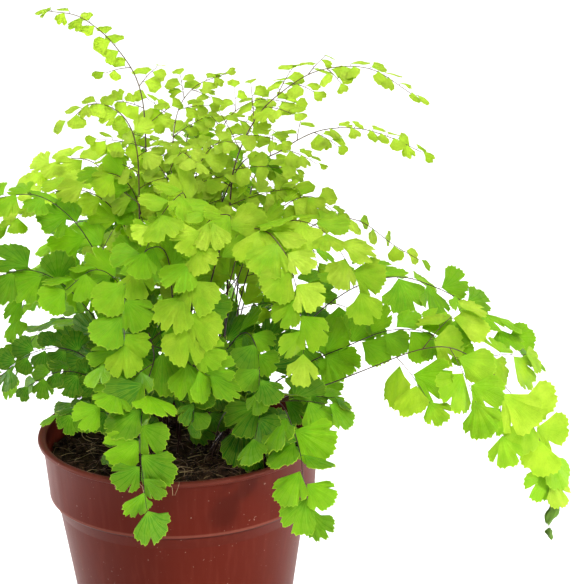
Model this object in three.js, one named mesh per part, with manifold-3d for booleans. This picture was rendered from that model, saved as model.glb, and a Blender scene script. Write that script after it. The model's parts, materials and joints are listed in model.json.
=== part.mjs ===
// A maidenhair fern in a moulded nursery pot.
// Millimetres, +Z up. The origin is the middle of the pot's base, and the pot stands on z = 0.
// -Y is the side that the tall arch and the hanging sprays are seen from.

import * as THREE from 'three';
import { mergeVertices } from 'three/addons/utils/BufferGeometryUtils.js';
import Module from 'manifold-3d';

const wasm = await Module();
wasm.setup();

// Driving dimensions of the pot
const POT_HEIGHT = 105;
const LIP_RADIUS = 60;
const LIP_HEIGHT = 2.4;
const COLLAR_TOP_RADIUS = 57.9;
const COLLAR_BOTTOM_RADIUS = 55.9;
const COLLAR_DEPTH = 25;
const SHOULDER_DEPTH = 6.5;
const BODY_TOP_RADIUS = 52.2;
const BASE_RADIUS = 41;
const WALL = 1.4;
const POT_SIDES = 30;
const DRAIN_HOLES = 6;
const DRAIN_HOLE_RADIUS = 4;
const DRAIN_RING_RADIUS = 29;

// Driving dimensions of the soil
const GAP = 0.3;
const SOIL_HEIGHT = 97;
const SOIL_SWELL = 3;
const SOIL_ROUGHNESS = 1.6;
const SOIL_RINGS = 3;
const SOIL_SIDES = 20;
const HOLE_DEPTH = 4;
const HOLE_RADIUS = 2.8;

// Driving dimensions of the fronds
const STEM_RADIUS = 1;
const STEM_STEP = 22;
const RIB_STEP = 16;
const RIB_HALF_WIDTH = 0.36;
const SUNK = 2;
const BLADE_THICKNESS = 0.6;
const CLEARANCE = 0.2;
const CROWN = { x: 0, y: 18 };
const LARGE_LEAFLET = 10;
const STALK_SHARE = 0.22;
const LEAFLET_CUP = 0.16;
const LEAFLET_HANG = 0.28;
const LEAFLET_ANGLE = 64;
const SPRIG_ANGLE = 58;
const SPRIG_FALL = 0.18;
const LEAFLET_GAP = 0.58;
const SPRIG_LEAFLET_GAP = 0.5;
const SPRIG_GAP = 0.85;
const LIGHT_ABOVE = 0.62;
const LIGHT_OUTWARD = 0.62;
const LIGHT_WOBBLE = 0.6;

const UP = new THREE.Vector3(0, 0, 1);

// The fronds that the viewer sees, each with:
// age from 0 (young and yellow-green) to 1 (old and dark), leaflet length, the bare share of its stem,
// side sprig length, looseness of the leaflets, the bearing that the leaflets face in degrees,
// and the route of its stem from its root at the soil, whose height is the soil's.
const FRONDS = [
  { name: 'tall_left', age: 0.12, leaf: 7, bare: 0.62, sprig: 22, loose: 1.5, face: -70,
    route: [[-9, 15], [-10, 16, 150], [-11, 15, 210], [-12, 13, 246], [-21, 9, 266], [-34, 5, 279], [-47, 0, 283]] },
  { name: 'tall_left_low', age: 0.14, leaf: 8, bare: 0.62, sprig: 17, loose: 1.1, face: -110,
    route: [[-13, 8], [-13, 5, 150], [-14, 3, 190], [-14, 4, 224], [-19, 0, 240], [-30, -4, 246], [-40, -8, 240]] },
  { name: 'tall_middle', age: 0.05, leaf: 7, bare: 0.62, sprig: 26, loose: 1, face: -60,
    route: [[-7, 20], [-5, 22, 150], [-2, 24, 200], [1, 24, 232], [9, 22, 246], [22, 20, 252]] },
  { name: 'tall_right', age: 0.14, leaf: 7.5, bare: 0.44, sprig: 30, loose: 1.3, face: -80,
    route: [[14, 10], [20, 8, 150], [23, 10, 200], [26, 10, 218], [34, 9, 235], [44, 7, 246], [60, 4, 256],
      [80, -3, 258], [98, -10, 248]] },
  { name: 'tall_right_low', age: 0.12, leaf: 7, bare: 0.5, sprig: 22, loose: 1.3, face: -70,
    route: [[18, 22], [25, 28, 160], [33, 38, 204], [45, 43, 214], [60, 46, 221], [76, 46, 222], [90, 46, 218],
      [104, 46, 211]] },
  { name: 'wispy_right', age: 0.15, leaf: 8, bare: 0.52, sprig: 0, loose: 1.8, face: -60,
    route: [[19, 14], [24, 18, 140], [36, 24, 174], [52, 28, 182], [66, 30, 187], [78, 30, 185], [91, 30, 175],
      [102, 30, 168]] },
  { name: 'upper_middle', age: 0.18, leaf: 8, bare: 0.55, sprig: 22, loose: 1, face: -90,
    route: [[4, 14], [5, 12, 150], [6, 12, 190], [10, 10, 214], [18, 6, 226], [28, 0, 228]] },
  { name: 'upper_inner', age: 0.16, leaf: 8, bare: 0.55, sprig: 20, loose: 1, face: -100,
    route: [[-2, 10], [-3, 8, 150], [-4, 8, 190], [-2, 6, 212], [4, 0, 224], [10, -8, 222]] },
  { name: 'upper_back', age: 0.1, leaf: 7, bare: 0.58, sprig: 24, loose: 1, face: -70,
    route: [[6, 30], [13, 31, 160], [16, 40, 200], [20, 46, 224], [34, 50, 234], [50, 52, 232]] },
  { name: 'upper_right', age: 0.18, leaf: 9, bare: 0.5, sprig: 18, loose: 1, face: -80,
    route: [[16, 4], [24, 2, 150], [34, 2, 184], [44, 0, 200], [56, -4, 206], [66, -8, 200]] },
  { name: 'arch_high', age: 0.35, leaf: 14, bare: 0.36, sprig: 20, loose: 1, face: -80,
    route: [[20, 8], [34, 8, 125], [51, 8, 145], [64, 8, 157], [78, 8, 165], [93, 6, 168], [107, 4, 164],
      [120, 2, 157], [133, 0, 146], [144, 0, 134]] },
  { name: 'arch_main', age: 0.2, leaf: 16, bare: 0.4, sprig: 20, loose: 1, face: -90,
    route: [[15, -6], [28, -10, 112], [46, -14, 124], [62, -20, 131], [80, -28, 141], [97, -35, 150], [110, -38, 152],
      [122, -40, 146], [133, -41, 135], [143, -42, 120], [149, -42, 104], [151, -42, 86]] },
  { name: 'arch_middle', age: 0.45, leaf: 13, bare: 0.42, sprig: 18, loose: 1, face: -80,
    route: [[21, 2], [32, 4, 116], [52, 0, 132], [70, -8, 143], [86, -16, 152], [100, -20, 153], [112, -23, 148]] },
  { name: 'front_left', age: 0.32, leaf: 15, bare: 0.5, sprig: 0, loose: 1, face: -90,
    route: [[5, -4], [10, -8, 150], [20, -20, 192], [24, -25, 204], [17, -34, 206], [11, -43, 199], [8, -48, 188],
      [7, -52, 176], [8, -55, 164], [10, -57, 152]] },
  { name: 'front_right', age: 0.12, leaf: 15, bare: 0.5, sprig: 0, loose: 1, face: -80,
    route: [[10, -4], [18, -6, 150], [28, -12, 190], [37, -28, 199], [45, -41, 194], [49, -49, 184], [51, -53, 172],
      [52, -56, 158]] },
  { name: 'front_drape', age: 0.48, leaf: 16, bare: 0.26, sprig: 0, loose: 1, face: -95,
    route: [[-6, -6], [-9, -12, 135], [-10, -28, 157], [-7, -45, 153], [-9, -56, 147], [-11, -66, 138],
      [-12, -73, 126], [-11, -77, 112], [-9, -79, 98]] },
  { name: 'right_drape', age: 0.5, leaf: 15, bare: 0.34, sprig: 0, loose: 1, face: -70,
    route: [[12, -10], [20, -14, 112], [32, -24, 128], [42, -38, 130], [47, -50, 124], [50, -60, 116], [51, -66, 107],
      [54, -71, 93]] },
  { name: 'low_right', age: 0.8, leaf: 13, bare: 0.3, sprig: 0, loose: 1, face: -60,
    route: [[10, -8], [17, -10, 106], [27, -13, 115], [38, -22, 123], [50, -31, 130], [63, -36, 131]] },
  { name: 'centre_left', age: 0.42, leaf: 15, bare: 0.52, sprig: 0, loose: 1, face: -100,
    route: [[0, 0], [-1, -4, 150], [-2, -14, 184], [-8, -26, 192], [-15, -36, 186], [-18, -44, 174], [-18, -49, 160]] },
  { name: 'centre_middle', age: 0.28, leaf: 15, bare: 0.52, sprig: 0, loose: 1, face: -90,
    route: [[4, 2], [6, 2, 150], [6, -4, 194], [6, -16, 210], [4, -28, 214], [-3, -38, 208], [-9, -44, 196]] },
  { name: 'centre_right', age: 0.16, leaf: 14.5, bare: 0.52, sprig: 0, loose: 1, face: -70,
    route: [[12, 0], [20, 0, 150], [32, -5, 187], [44, -12, 198], [58, -20, 198], [68, -26, 188], [74, -30, 174]] },
  { name: 'centre_low', age: 0.62, leaf: 13, bare: 0.42, sprig: 0, loose: 1, face: -90,
    route: [[6, -2], [14, -8, 130], [24, -18, 150], [30, -28, 156], [34, -38, 150], [34, -45, 138]] },
  { name: 'centre_low_left', age: 0.7, leaf: 13, bare: 0.4, sprig: 0, loose: 1, face: -100,
    route: [[-2, -8], [2, -12, 120], [6, -22, 140], [8, -34, 146], [8, -44, 140], [8, -50, 128]] },
  { name: 'low_left', age: 0.88, leaf: 10, bare: 0.35, sprig: 12, loose: 1.1, face: -110,
    route: [[-12, -4], [-18, -4, 112], [-28, -8, 130], [-39, -10, 142], [-50, -12, 146], [-62, -14, 143],
      [-74, -16, 134]] },
  { name: 'low_left_front', age: 0.85, leaf: 9, bare: 0.4, sprig: 0, loose: 1, face: -100,
    route: [[-11, -8], [-17, -12, 112], [-27, -20, 130], [-38, -27, 140], [-48, -31, 142], [-58, -34, 138]] },
  { name: 'rim_left', age: 0.6, leaf: 11, bare: 0.45, sprig: 0, loose: 1, face: -110,
    route: [[-10, -10], [-15, -15, 106], [-24, -21, 118], [-34, -27, 124], [-46, -32, 124]] },
  { name: 'middle_left', age: 0.58, leaf: 16, bare: 0.45, sprig: 20, loose: 1, face: -110,
    route: [[-16, 2], [-20, 0, 120], [-28, -4, 146], [-36, -10, 162], [-46, -17, 176], [-58, -23, 183],
      [-72, -27, 181]] },
  { name: 'upper_left', age: 0.55, leaf: 14, bare: 0.5, sprig: 20, loose: 1, face: -110,
    route: [[-14, 4], [-18, 4, 130], [-26, 1, 164], [-33, -4, 186], [-42, -10, 202], [-54, -16, 212],
      [-70, -20, 212]] },
  { name: 'pale_left', age: 0.08, leaf: 12, bare: 0.5, sprig: 20, loose: 1, face: -100,
    route: [[-12, 14], [-14, 16, 150], [-19, 22, 188], [-26, 30, 204], [-36, 37, 212], [-48, 40, 212],
      [-60, 41, 205]] },
  { name: 'pale_left_low', age: 0.2, leaf: 12, bare: 0.5, sprig: 18, loose: 1, face: -110,
    route: [[-16, 10], [-16, 11, 150], [-19, 12, 184], [-28, 14, 200], [-42, 15, 206], [-56, 14, 202],
      [-68, 12, 192]] },
  { name: 'inner_left', age: 0.52, leaf: 14, bare: 0.45, sprig: 16, loose: 1, face: -100,
    route: [[-8, 2], [-12, 0, 130], [-18, -6, 160], [-24, -14, 176], [-32, -22, 182], [-42, -28, 176]] },
  { name: 'inner_left_high', age: 0.45, leaf: 12, bare: 0.52, sprig: 18, loose: 1, face: -100,
    route: [[-9, 8], [-10, 8, 150], [-12, 8, 184], [-16, 6, 206], [-24, 0, 216], [-34, -6, 214]] },
];

// The fronds of the far side, which follow one rule: bearing in degrees, how far out the tip lies
// from the crown, how high the stem arches, and how far its tip falls from there.
const BACK_FRONDS = [
  { bearing: 12, spread: 66, height: 150, fall: 24 },
  { bearing: 38, spread: 80, height: 176, fall: 34 },
  { bearing: 64, spread: 72, height: 196, fall: 30 },
  { bearing: 90, spread: 86, height: 178, fall: 40 },
  { bearing: 114, spread: 74, height: 200, fall: 28 },
  { bearing: 138, spread: 84, height: 180, fall: 36 },
  { bearing: 164, spread: 74, height: 168, fall: 26 },
  { bearing: 28, spread: 48, height: 214, fall: 14 },
  { bearing: 76, spread: 50, height: 222, fall: 16 },
  { bearing: 126, spread: 48, height: 218, fall: 14 },
  { bearing: 52, spread: 92, height: 140, fall: 44 },
  { bearing: 102, spread: 96, height: 136, fall: 46 },
  { bearing: 150, spread: 88, height: 138, fall: 30 },
];

// A repeatable number from 0 to 1
function chance(seed, step) {
  const value = Math.sin(seed * 12.9898 + step * 78.233) * 43758.5453;
  return value - Math.floor(value);
}

function radians(degrees) {
  return THREE.MathUtils.degToRad(degrees);
}

function vector(x, y, z) {
  return new THREE.Vector3(x, y, z);
}

// A closed solid from a geometry
function solidOf(geometry) {
  const bare = geometry.clone();
  bare.deleteAttribute('normal');
  bare.deleteAttribute('uv');
  const merged = mergeVertices(bare, 1e-5);
  const vertProperties = new Float32Array(merged.attributes.position.array);
  const triVerts = new Uint32Array(merged.index.array);
  return new wasm.Manifold(new wasm.Mesh({ numProp: 3, vertProperties, triVerts }));
}

// A geometry from a closed solid
function geometryOf(solid) {
  const mesh = solid.getMesh();
  const geometry = new THREE.BufferGeometry();
  geometry.setAttribute('position', new THREE.BufferAttribute(mesh.vertProperties, 3));
  geometry.setIndex(new THREE.BufferAttribute(mesh.triVerts, 1));
  geometry.computeVertexNormals();
  return geometry;
}

// A geometry from points and triangles
function geometryFrom(points, triangles) {
  const geometry = new THREE.BufferGeometry().setFromPoints(points);
  geometry.setIndex(triangles);
  return geometry;
}

// A line of straight stretches that gives its point and direction at a length along it
class Line {
  constructor(points) {
    this.points = points;
    this.at = [0];
    for (let i = 1; i < points.length; i += 1) {
      this.at.push(this.at[i - 1] + points[i].distanceTo(points[i - 1]));
    }
    this.length = this.at[points.length - 1];
  }

  point(along) {
    let i = 0;
    while (i < this.points.length - 2 && this.at[i + 1] < along) {
      i += 1;
    }
    const share = (along - this.at[i]) / (this.at[i + 1] - this.at[i]);
    return this.points[i].clone().lerp(this.points[i + 1], share);
  }

  direction(along) {
    const reach = 1.5;
    const ahead = this.point(Math.min(along + reach, this.length));
    const behind = this.point(Math.max(along - reach, 0));
    return ahead.sub(behind).normalize();
  }
}

// The smooth route of a stem
function stemLine(route) {
  const [rootX, rootY] = route[0];
  const root = vector(rootX, rootY, SOIL_HEIGHT - HOLE_DEPTH);
  const points = [root, ...route.slice(1).map(([x, y, z]) => vector(x, y, z))];
  const curve = new THREE.CatmullRomCurve3(points, false, 'catmullrom', 0.5);
  return new Line(curve.getPoints((points.length - 1) * 8));
}

// The way that the leaflets of a frond or sprig turn to the light
function lightFrom(facing, seed) {
  const wobble = vector(chance(seed, 1) - 0.5, chance(seed, 2) - 0.5, chance(seed, 3) - 0.5);
  const light = UP.clone().multiplyScalar(LIGHT_ABOVE);
  return light.addScaledVector(facing, LIGHT_OUTWARD).addScaledVector(wobble, LIGHT_WOBBLE).normalize();
}

// The upper face's normal and the sideways direction where a line runs along `ahead`
function frameOn(ahead, light) {
  const normal = light.clone().addScaledVector(ahead, -light.dot(ahead)).normalize();
  const side = ahead.clone().cross(normal);
  return { normal, side };
}

// One leaflet: where its stalk starts, its own directions and its length
function leafletAt(base, ahead, frame, hand, angle, size, seed, step) {
  const out = ahead.clone().multiplyScalar(Math.cos(angle));
  out.addScaledVector(frame.side, Math.sin(angle) * hand).addScaledVector(UP, -LEAFLET_HANG).normalize();
  const face = frame.normal.clone().addScaledVector(out, -frame.normal.dot(out)).normalize();
  const across = out.clone().cross(face);
  const dip = radians(6 + 26 * chance(seed, step + 1));
  const roll = radians(50 * (chance(seed, step + 2) - 0.5));
  const direction = out.clone().multiplyScalar(Math.cos(dip)).addScaledVector(face, -Math.sin(dip)).normalize();
  const level = across.clone().cross(direction).normalize();
  const normal = level.multiplyScalar(Math.cos(roll)).addScaledVector(across, Math.sin(roll)).normalize();
  const side = direction.clone().cross(normal);
  return { base, direction, side, normal, hand, angle, size: size * (0.88 + 0.24 * chance(seed, step + 3)) };
}

// Leaflets in turn on both sides of a line, from `start` to its end, and one at the end
function leafletsOn(line, start, light, size, shrink, seed, gap) {
  const leaflets = [];
  let along = start;
  let count = 0;
  let hand = chance(seed, 0) > 0.5 ? 1 : -1;
  while (along < line.length - 0.25 * size) {
    const share = (along - start) / Math.max(line.length - start, 1e-6);
    const here = size * (1 - shrink * share);
    const ahead = line.direction(along);
    const angle = radians(LEAFLET_ANGLE - 8 * share + 10 * (chance(seed, 10 * count + 5) - 0.5));
    const frame = frameOn(ahead, light);
    const leaflet = leafletAt(line.point(along), ahead, frame, hand, angle, here, seed, 10 * count + 20);
    leaflets.push({ ...leaflet, along });
    along += here * gap * (0.9 + 0.2 * chance(seed, 10 * count + 6));
    hand = -hand;
    count += 1;
  }
  const ahead = line.direction(line.length);
  const frame = frameOn(ahead, light);
  const last = leafletAt(line.point(line.length), ahead, frame, 1, 0, size * (1 - shrink), seed, 10 * count + 20);
  leaflets.push({ ...last, along: line.length });
  return leaflets;
}

// A side sprig leaves the stem at an angle and droops
function sprigLine(base, direction, length) {
  const points = [];
  for (let i = 0; i <= 6; i += 1) {
    const along = length * i / 6;
    const fall = SPRIG_FALL * along * along / length;
    points.push(base.clone().addScaledVector(direction, along).addScaledVector(UP, -fall));
  }
  return new Line(points);
}

// The plan of a frond: its stem, its side sprigs and the leaflets on its own end
function frondPlan(row, index) {
  const seed = index + 1;
  const line = stemLine(row.route);
  const facing = vector(Math.cos(radians(row.face)), Math.sin(radians(row.face)), 0);
  const light = lightFrom(facing, seed);
  const start = row.bare * line.length;
  const leafy = line.length - start;
  const sprigs = [];
  let along = start;
  let count = 0;
  let hand = 1;
  while (row.sprig > 0) {
    const share = (along - start) / leafy;
    const length = row.sprig * (1 - share) ** (0.7 * row.loose) * (0.8 + 0.4 * chance(seed, 100 + count));
    const here = row.leaf * (1 - 0.35 * share);
    if (share >= 0.97 || length < 1.1 * here) {
      break;
    }
    const ahead = line.direction(along);
    const frame = frameOn(ahead, light);
    const angle = radians(SPRIG_ANGLE - 12 * share + 14 * (chance(seed, 200 + count) - 0.5));
    const direction = ahead.clone().multiplyScalar(Math.cos(angle));
    direction.addScaledVector(frame.side, Math.sin(angle) * hand).normalize();
    const sprig = sprigLine(line.point(along), direction, length);
    const sprigSeed = seed * 31 + count;
    const lit = frame.normal.clone().multiplyScalar(0.4);
    lit.addScaledVector(lightFrom(facing, sprigSeed), 0.8).normalize();
    const gap = SPRIG_LEAFLET_GAP * (0.6 + 0.4 * row.loose);
    const leaflets = leafletsOn(sprig, 0.3 * here, lit, here, 0.25, sprigSeed, gap);
    sprigs.push({ line: sprig, light: lit, along, leaflets });
    along += here * SPRIG_GAP * row.loose * (0.85 + 0.3 * chance(seed, 300 + count));
    hand = -hand;
    count += 1;
  }
  const size = row.leaf * (1 - 0.35 * (along - start) / leafy);
  const leaflets = leafletsOn(line, along, light, size, 0.45, seed * 57, LEAFLET_GAP * row.loose);
  return { name: row.name, age: row.age, large: row.leaf > LARGE_LEAFLET, line, light, sprigs, leaflets };
}

// A far-side frond as a row like those above
function backFrond({ bearing, spread, height, fall }, index) {
  const cosine = Math.cos(radians(bearing));
  const sine = Math.sin(radians(bearing));
  const bend = 8 * (chance(index, 7) - 0.5);
  const rise = height - SOIL_HEIGHT;
  const root = 4 + 0.14 * (230 - height);
  const at = (out, z, aside) => [
    CROWN.x + out * cosine - aside * sine,
    CROWN.y + out * sine + aside * cosine,
    z,
  ];
  return {
    name: `back_${index + 1}`,
    age: 0.25 + 0.5 * chance(index, 9),
    leaf: height < 190 ? 13 : 9,
    bare: 0.45,
    sprig: height >= 160 ? 18 : 0,
    loose: 1,
    face: bearing,
    route: [
      at(root, 0, 0),
      at(0.2 * spread, SOIL_HEIGHT + 0.55 * rise, 0),
      at(0.45 * spread, SOIL_HEIGHT + 0.88 * rise, bend),
      at(0.68 * spread, height, bend),
      at(0.87 * spread, height - 0.3 * fall, bend),
      at(spread, height - fall, -bend),
    ],
  };
}

// The waved margin of a leaflet, as angles in degrees and shares of its length
function marginOf(size) {
  if (size > 12) {
    return [[50, 0.8], [33, 1], [17, 0.84], [0, 1.05], [-17, 0.84], [-33, 1], [-50, 0.8]];
  }
  if (size > 8) {
    return [[50, 0.8], [25, 1.02], [0, 0.86], [-25, 1.02], [-50, 0.8]];
  }
  if (size > 6) {
    return [[48, 0.82], [16, 1.04], [-16, 1.04], [-48, 0.82]];
  }
  return [[44, 0.85], [0, 1.05], [-44, 0.85]];
}

// The margin's corners of one leaflet, each with its place, its normal and how far along the rib it reaches
function leafletCorners(leaflet) {
  const stalk = STALK_SHARE * leaflet.size;
  const turn = leaflet.angle * leaflet.hand;
  return marginOf(leaflet.size).map(([degrees, share]) => {
    const forward = stalk + leaflet.size * share * Math.cos(radians(degrees));
    const sideways = leaflet.size * share * Math.sin(radians(degrees));
    const fall = LEAFLET_CUP * sideways * sideways / leaflet.size;
    const place = leaflet.base.clone().addScaledVector(leaflet.direction, forward);
    place.addScaledVector(leaflet.side, sideways).addScaledVector(leaflet.normal, -fall);
    const reach = leaflet.along + forward * Math.cos(turn) - sideways * Math.sin(turn);
    return { place, normal: leaflet.normal, reach };
  });
}

// A thin blade over an outline of corners and its faces, split into triangles alike on both faces
function bladeSolid(corners, faces, thickness) {
  const count = corners.length;
  const half = thickness / 2;
  const top = corners.map(({ place, normal }) => place.clone().addScaledVector(normal, half));
  const bottom = corners.map(({ place, normal }) => place.clone().addScaledVector(normal, -half));
  const triangles = [];
  for (const [a, b, c] of faces) {
    triangles.push(a, b, c, count + a, count + c, count + b);
  }
  for (let i = 0; i < count; i += 1) {
    const next = (i + 1) % count;
    triangles.push(i, count + i, count + next, i, count + next, next);
  }
  return solidOf(geometryFrom([...top, ...bottom], triangles));
}

// A corner of a rib: `hand` is its side of the blade
function ribCorner(blade, along, hand) {
  const { normal, side } = frameOn(blade.line.direction(along), blade.light);
  const middle = along > blade.from ? blade.line.point(along) : blade.root.clone();
  return { place: middle.addScaledVector(side, hand * RIB_HALF_WIDTH), normal, along };
}

// The corners of one side of a blade, from its root to its end
function sideCorners(blade, leaflets, hand) {
  const corners = [ribCorner(blade, blade.from, hand)];
  let reached = blade.from;
  const follow = (upTo) => {
    const bends = Math.floor((upTo - reached) / RIB_STEP);
    for (let i = 1; i <= bends; i += 1) {
      corners.push(ribCorner(blade, reached + (upTo - reached) * i / (bends + 1), hand));
    }
  };
  for (const leaflet of leaflets.filter((one) => one.hand === hand)) {
    const margin = leafletCorners(leaflet);
    follow(leaflet.along - RIB_HALF_WIDTH);
    corners.push(ribCorner(blade, leaflet.along - RIB_HALF_WIDTH, hand));
    corners.push(...(hand > 0 ? margin : margin.reverse()));
    corners.push(ribCorner(blade, leaflet.along + RIB_HALF_WIDTH, hand));
    reached = leaflet.along + RIB_HALF_WIDTH;
  }
  follow(blade.line.length);
  corners.push(ribCorner(blade, blade.line.length, hand));
  return corners;
}

// The places in an outline of the corners that lie on the rib itself
function ribPlaces(corners, first, step) {
  const places = corners.map((corner, i) => ({ along: corner.along, at: first + step * i }));
  return places.filter(({ along }) => along !== undefined);
}

// A strip between the two sides of a rib, and a fan over each leaflet
function bladeFaces(left, right) {
  const faces = [];
  let [i, j] = [0, 0];
  while (i < left.length - 1 || j < right.length - 1) {
    const onLeft = j === right.length - 1 || (i < left.length - 1 && left[i + 1].along < right[j + 1].along);
    const next = onLeft ? left[i + 1].at : right[j + 1].at;
    faces.push([left[i].at, next, right[j].at]);
    [i, j] = onLeft ? [i + 1, j] : [i, j + 1];
  }
  const edges = [...left, ...right.reverse()].map(({ at }) => at);
  for (let k = 0; k < edges.length - 1; k += 1) {
    for (let at = edges[k] + 1; at < edges[k + 1]; at += 1) {
      faces.push([edges[k], at, at + 1]);
    }
  }
  return faces;
}

// A rib with its leaflets cut to it, all in one outline
function ribSolid(blade, leaflets, last, thickness) {
  const left = sideCorners(blade, leaflets, 1);
  const right = sideCorners(blade, leaflets, -1);
  const end = last ? leafletCorners(last) : [];
  const corners = [...left, ...end, ...right.slice().reverse()];
  const faces = bladeFaces(ribPlaces(left, 0, 1), ribPlaces(right, corners.length - 1, -1));
  return bladeSolid(corners, faces, thickness);
}

// A three-sided rod along the first stretch of a line, and its middle, which is straight between its steps
function rodOn(line, length) {
  const steps = Math.max(3, Math.round(length / STEM_STEP));
  const middle = [];
  const points = [];
  const triangles = [];
  let outward = vector(1, 0, 0);
  for (let i = 0; i <= steps; i += 1) {
    const along = length * i / steps;
    const ahead = line.direction(along);
    outward = outward.clone().addScaledVector(ahead, -outward.dot(ahead)).normalize();
    const across = ahead.clone().cross(outward);
    middle.push(line.point(along));
    for (let k = 0; k < 3; k += 1) {
      const turn = 2 * Math.PI * k / 3;
      const place = line.point(along).addScaledVector(outward, STEM_RADIUS * Math.cos(turn));
      points.push(place.addScaledVector(across, STEM_RADIUS * Math.sin(turn)));
    }
  }
  for (let i = 0; i < steps; i += 1) {
    for (let k = 0; k < 3; k += 1) {
      const a = 3 * i + k;
      const b = 3 * i + (k + 1) % 3;
      triangles.push(a, b, b + 3, a, b + 3, a + 3);
    }
  }
  const end = 3 * steps;
  triangles.push(0, 2, 1, end, end + 1, end + 2);
  return { solid: solidOf(geometryFrom(points, triangles)), middle: new Line(middle), length };
}

// The stem of a frond: a rod from the soil to its own first leaflet, and from there a rib to its tip
function stemOf(plan) {
  const rod = rodOn(plan.line, plan.leaflets[0].along - SUNK);
  const from = rod.length - SUNK;
  const end = { line: plan.line, light: plan.light, from, root: plan.line.point(from) };
  return { rod, end, solids: [rod.solid, ribSolid(end, [], null, BLADE_THICKNESS)] };
}

// Everything that stands already, so that a leaflet that would cross it is left out
class Standing {
  constructor() {
    this.pieces = [];
  }

  add(solid) {
    this.pieces.push({ solid, box: solid.boundingBox() });
  }

  // Whether a blade is clear of everything but the stem that it grows from
  clearOf(solid, stem) {
    const box = solid.boundingBox();
    const near = this.pieces.filter((piece) => !stem.solids.includes(piece.solid)
      && [0, 1, 2].every((k) => piece.box.min[k] < box.max[k] && piece.box.max[k] > box.min[k]));
    return near.every((piece) => piece.solid.intersect(solid).isEmpty());
  }
}

// What grows in turn along a stem is thinned from its tip, so that `share` in five stay
function thinned(row, share) {
  return row.filter((one, index) => (3 * (row.length - 1 - index)) % 5 < share);
}

// A rib with those of its leaflets that stand clear of each other and of everything else
function leafyRib(blade, leaflets, large, stem, standing) {
  const wide = BLADE_THICKNESS + 2 * CLEARANCE;
  const final = leaflets.at(-1);
  const reached = { '-1': 0, 1: 0 };
  const clear = thinned(leaflets, large ? 3 : 1).filter((leaflet) => {
    const reach = leafletCorners(leaflet).map((corner) => corner.reach);
    if (leaflet !== final && Math.min(...reach) < reached[leaflet.hand]) {
      return false;
    }
    const room = leaflet === final ? ribSolid(blade, [], final, wide) : ribSolid(blade, [leaflet], null, wide);
    if (!standing.clearOf(room, stem)) {
      return false;
    }
    reached[leaflet.hand] = Math.max(...reach);
    return true;
  });
  const last = clear.at(-1) === final ? clear.pop() : null;
  return ribSolid(blade, clear, last, BLADE_THICKNESS);
}

// A frond: its stem, with the leaflets of its end and the side sprigs that have room sunk into it
function frondSolid(plan, stem, standing) {
  const { rod, end } = stem;
  const leafyEnd = leafyRib(end, plan.leaflets, plan.large, stem, standing);
  let solid = rod.solid.add(leafyEnd);
  standing.add(leafyEnd);
  stem.solids.push(leafyEnd);
  for (const { line, light, along, leaflets } of thinned(plan.sprigs, plan.large ? 5 : 3)) {
    const root = rod.middle.point(along * rod.middle.length / rod.length);
    const blade = { line, light, from: 0, root };
    const room = ribSolid(blade, [], null, BLADE_THICKNESS + 2 * CLEARANCE);
    if (standing.clearOf(room, stem)) {
      const sprig = leafyRib(blade, leaflets, plan.large, stem, standing);
      solid = solid.add(sprig);
      standing.add(sprig);
    }
  }
  return solid;
}

// The outer wall of the pot, from the base to the lip, as radius and height
function potOutside() {
  const collarBottom = POT_HEIGHT - COLLAR_DEPTH;
  const shoulder = collarBottom - SHOULDER_DEPTH;
  const lipBottom = POT_HEIGHT - LIP_HEIGHT;
  return [
    [BASE_RADIUS - 1.5, 0],
    [BASE_RADIUS, 1.5],
    [BODY_TOP_RADIUS, shoulder],
    [BODY_TOP_RADIUS + 1.6, shoulder + 1.6],
    [COLLAR_BOTTOM_RADIUS, collarBottom],
    [COLLAR_TOP_RADIUS, lipBottom],
    [LIP_RADIUS - 0.4, lipBottom + 0.3],
    [LIP_RADIUS, lipBottom + 1.2],
    [LIP_RADIUS - 0.5, POT_HEIGHT - 0.2],
    [LIP_RADIUS - 1.2, POT_HEIGHT],
  ];
}

// The inner wall of the pot, from the lip to the floor, as radius and height
function potInside() {
  const collarBottom = POT_HEIGHT - COLLAR_DEPTH;
  const shoulder = collarBottom - SHOULDER_DEPTH;
  return [
    [COLLAR_TOP_RADIUS - WALL, POT_HEIGHT - 0.8],
    [COLLAR_BOTTOM_RADIUS - WALL, collarBottom],
    [BODY_TOP_RADIUS - WALL, shoulder],
    [BASE_RADIUS - WALL, WALL],
  ];
}

// A turned solid from a profile that starts and ends on the axis
function turned(profile, sides) {
  const points = profile.map(([radius, height]) => new THREE.Vector2(radius, height));
  const geometry = new THREE.LatheGeometry(points, sides);
  geometry.rotateX(Math.PI / 2);
  return geometry;
}

function potSolid() {
  const profile = [[0, 0], ...potOutside(), ...potInside(), [0, WALL]];
  let solid = solidOf(turned(profile, POT_SIDES));
  const drill = new THREE.CylinderGeometry(DRAIN_HOLE_RADIUS, DRAIN_HOLE_RADIUS, 4 * WALL, 8);
  drill.rotateX(Math.PI / 2);
  for (let i = 0; i < DRAIN_HOLES; i += 1) {
    const turn = 2 * Math.PI * i / DRAIN_HOLES;
    const hole = drill.clone();
    hole.translate(DRAIN_RING_RADIUS * Math.cos(turn), DRAIN_RING_RADIUS * Math.sin(turn), 0);
    solid = solid.subtract(solidOf(hole));
  }
  return solid;
}

// The height of the soil, which swells to the middle and is rough
function soilTop(x, y, edge) {
  const share = Math.min(1, Math.hypot(x, y) / edge);
  const swell = SOIL_SWELL * (1 - share * share);
  const rough = Math.sin(0.31 * x + 1.3) * Math.cos(0.27 * y) + 0.6 * Math.sin(0.53 * x - 0.47 * y);
  return SOIL_HEIGHT - SOIL_SWELL + swell + 0.5 * SOIL_ROUGHNESS * rough * (1 - share ** 4);
}

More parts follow.
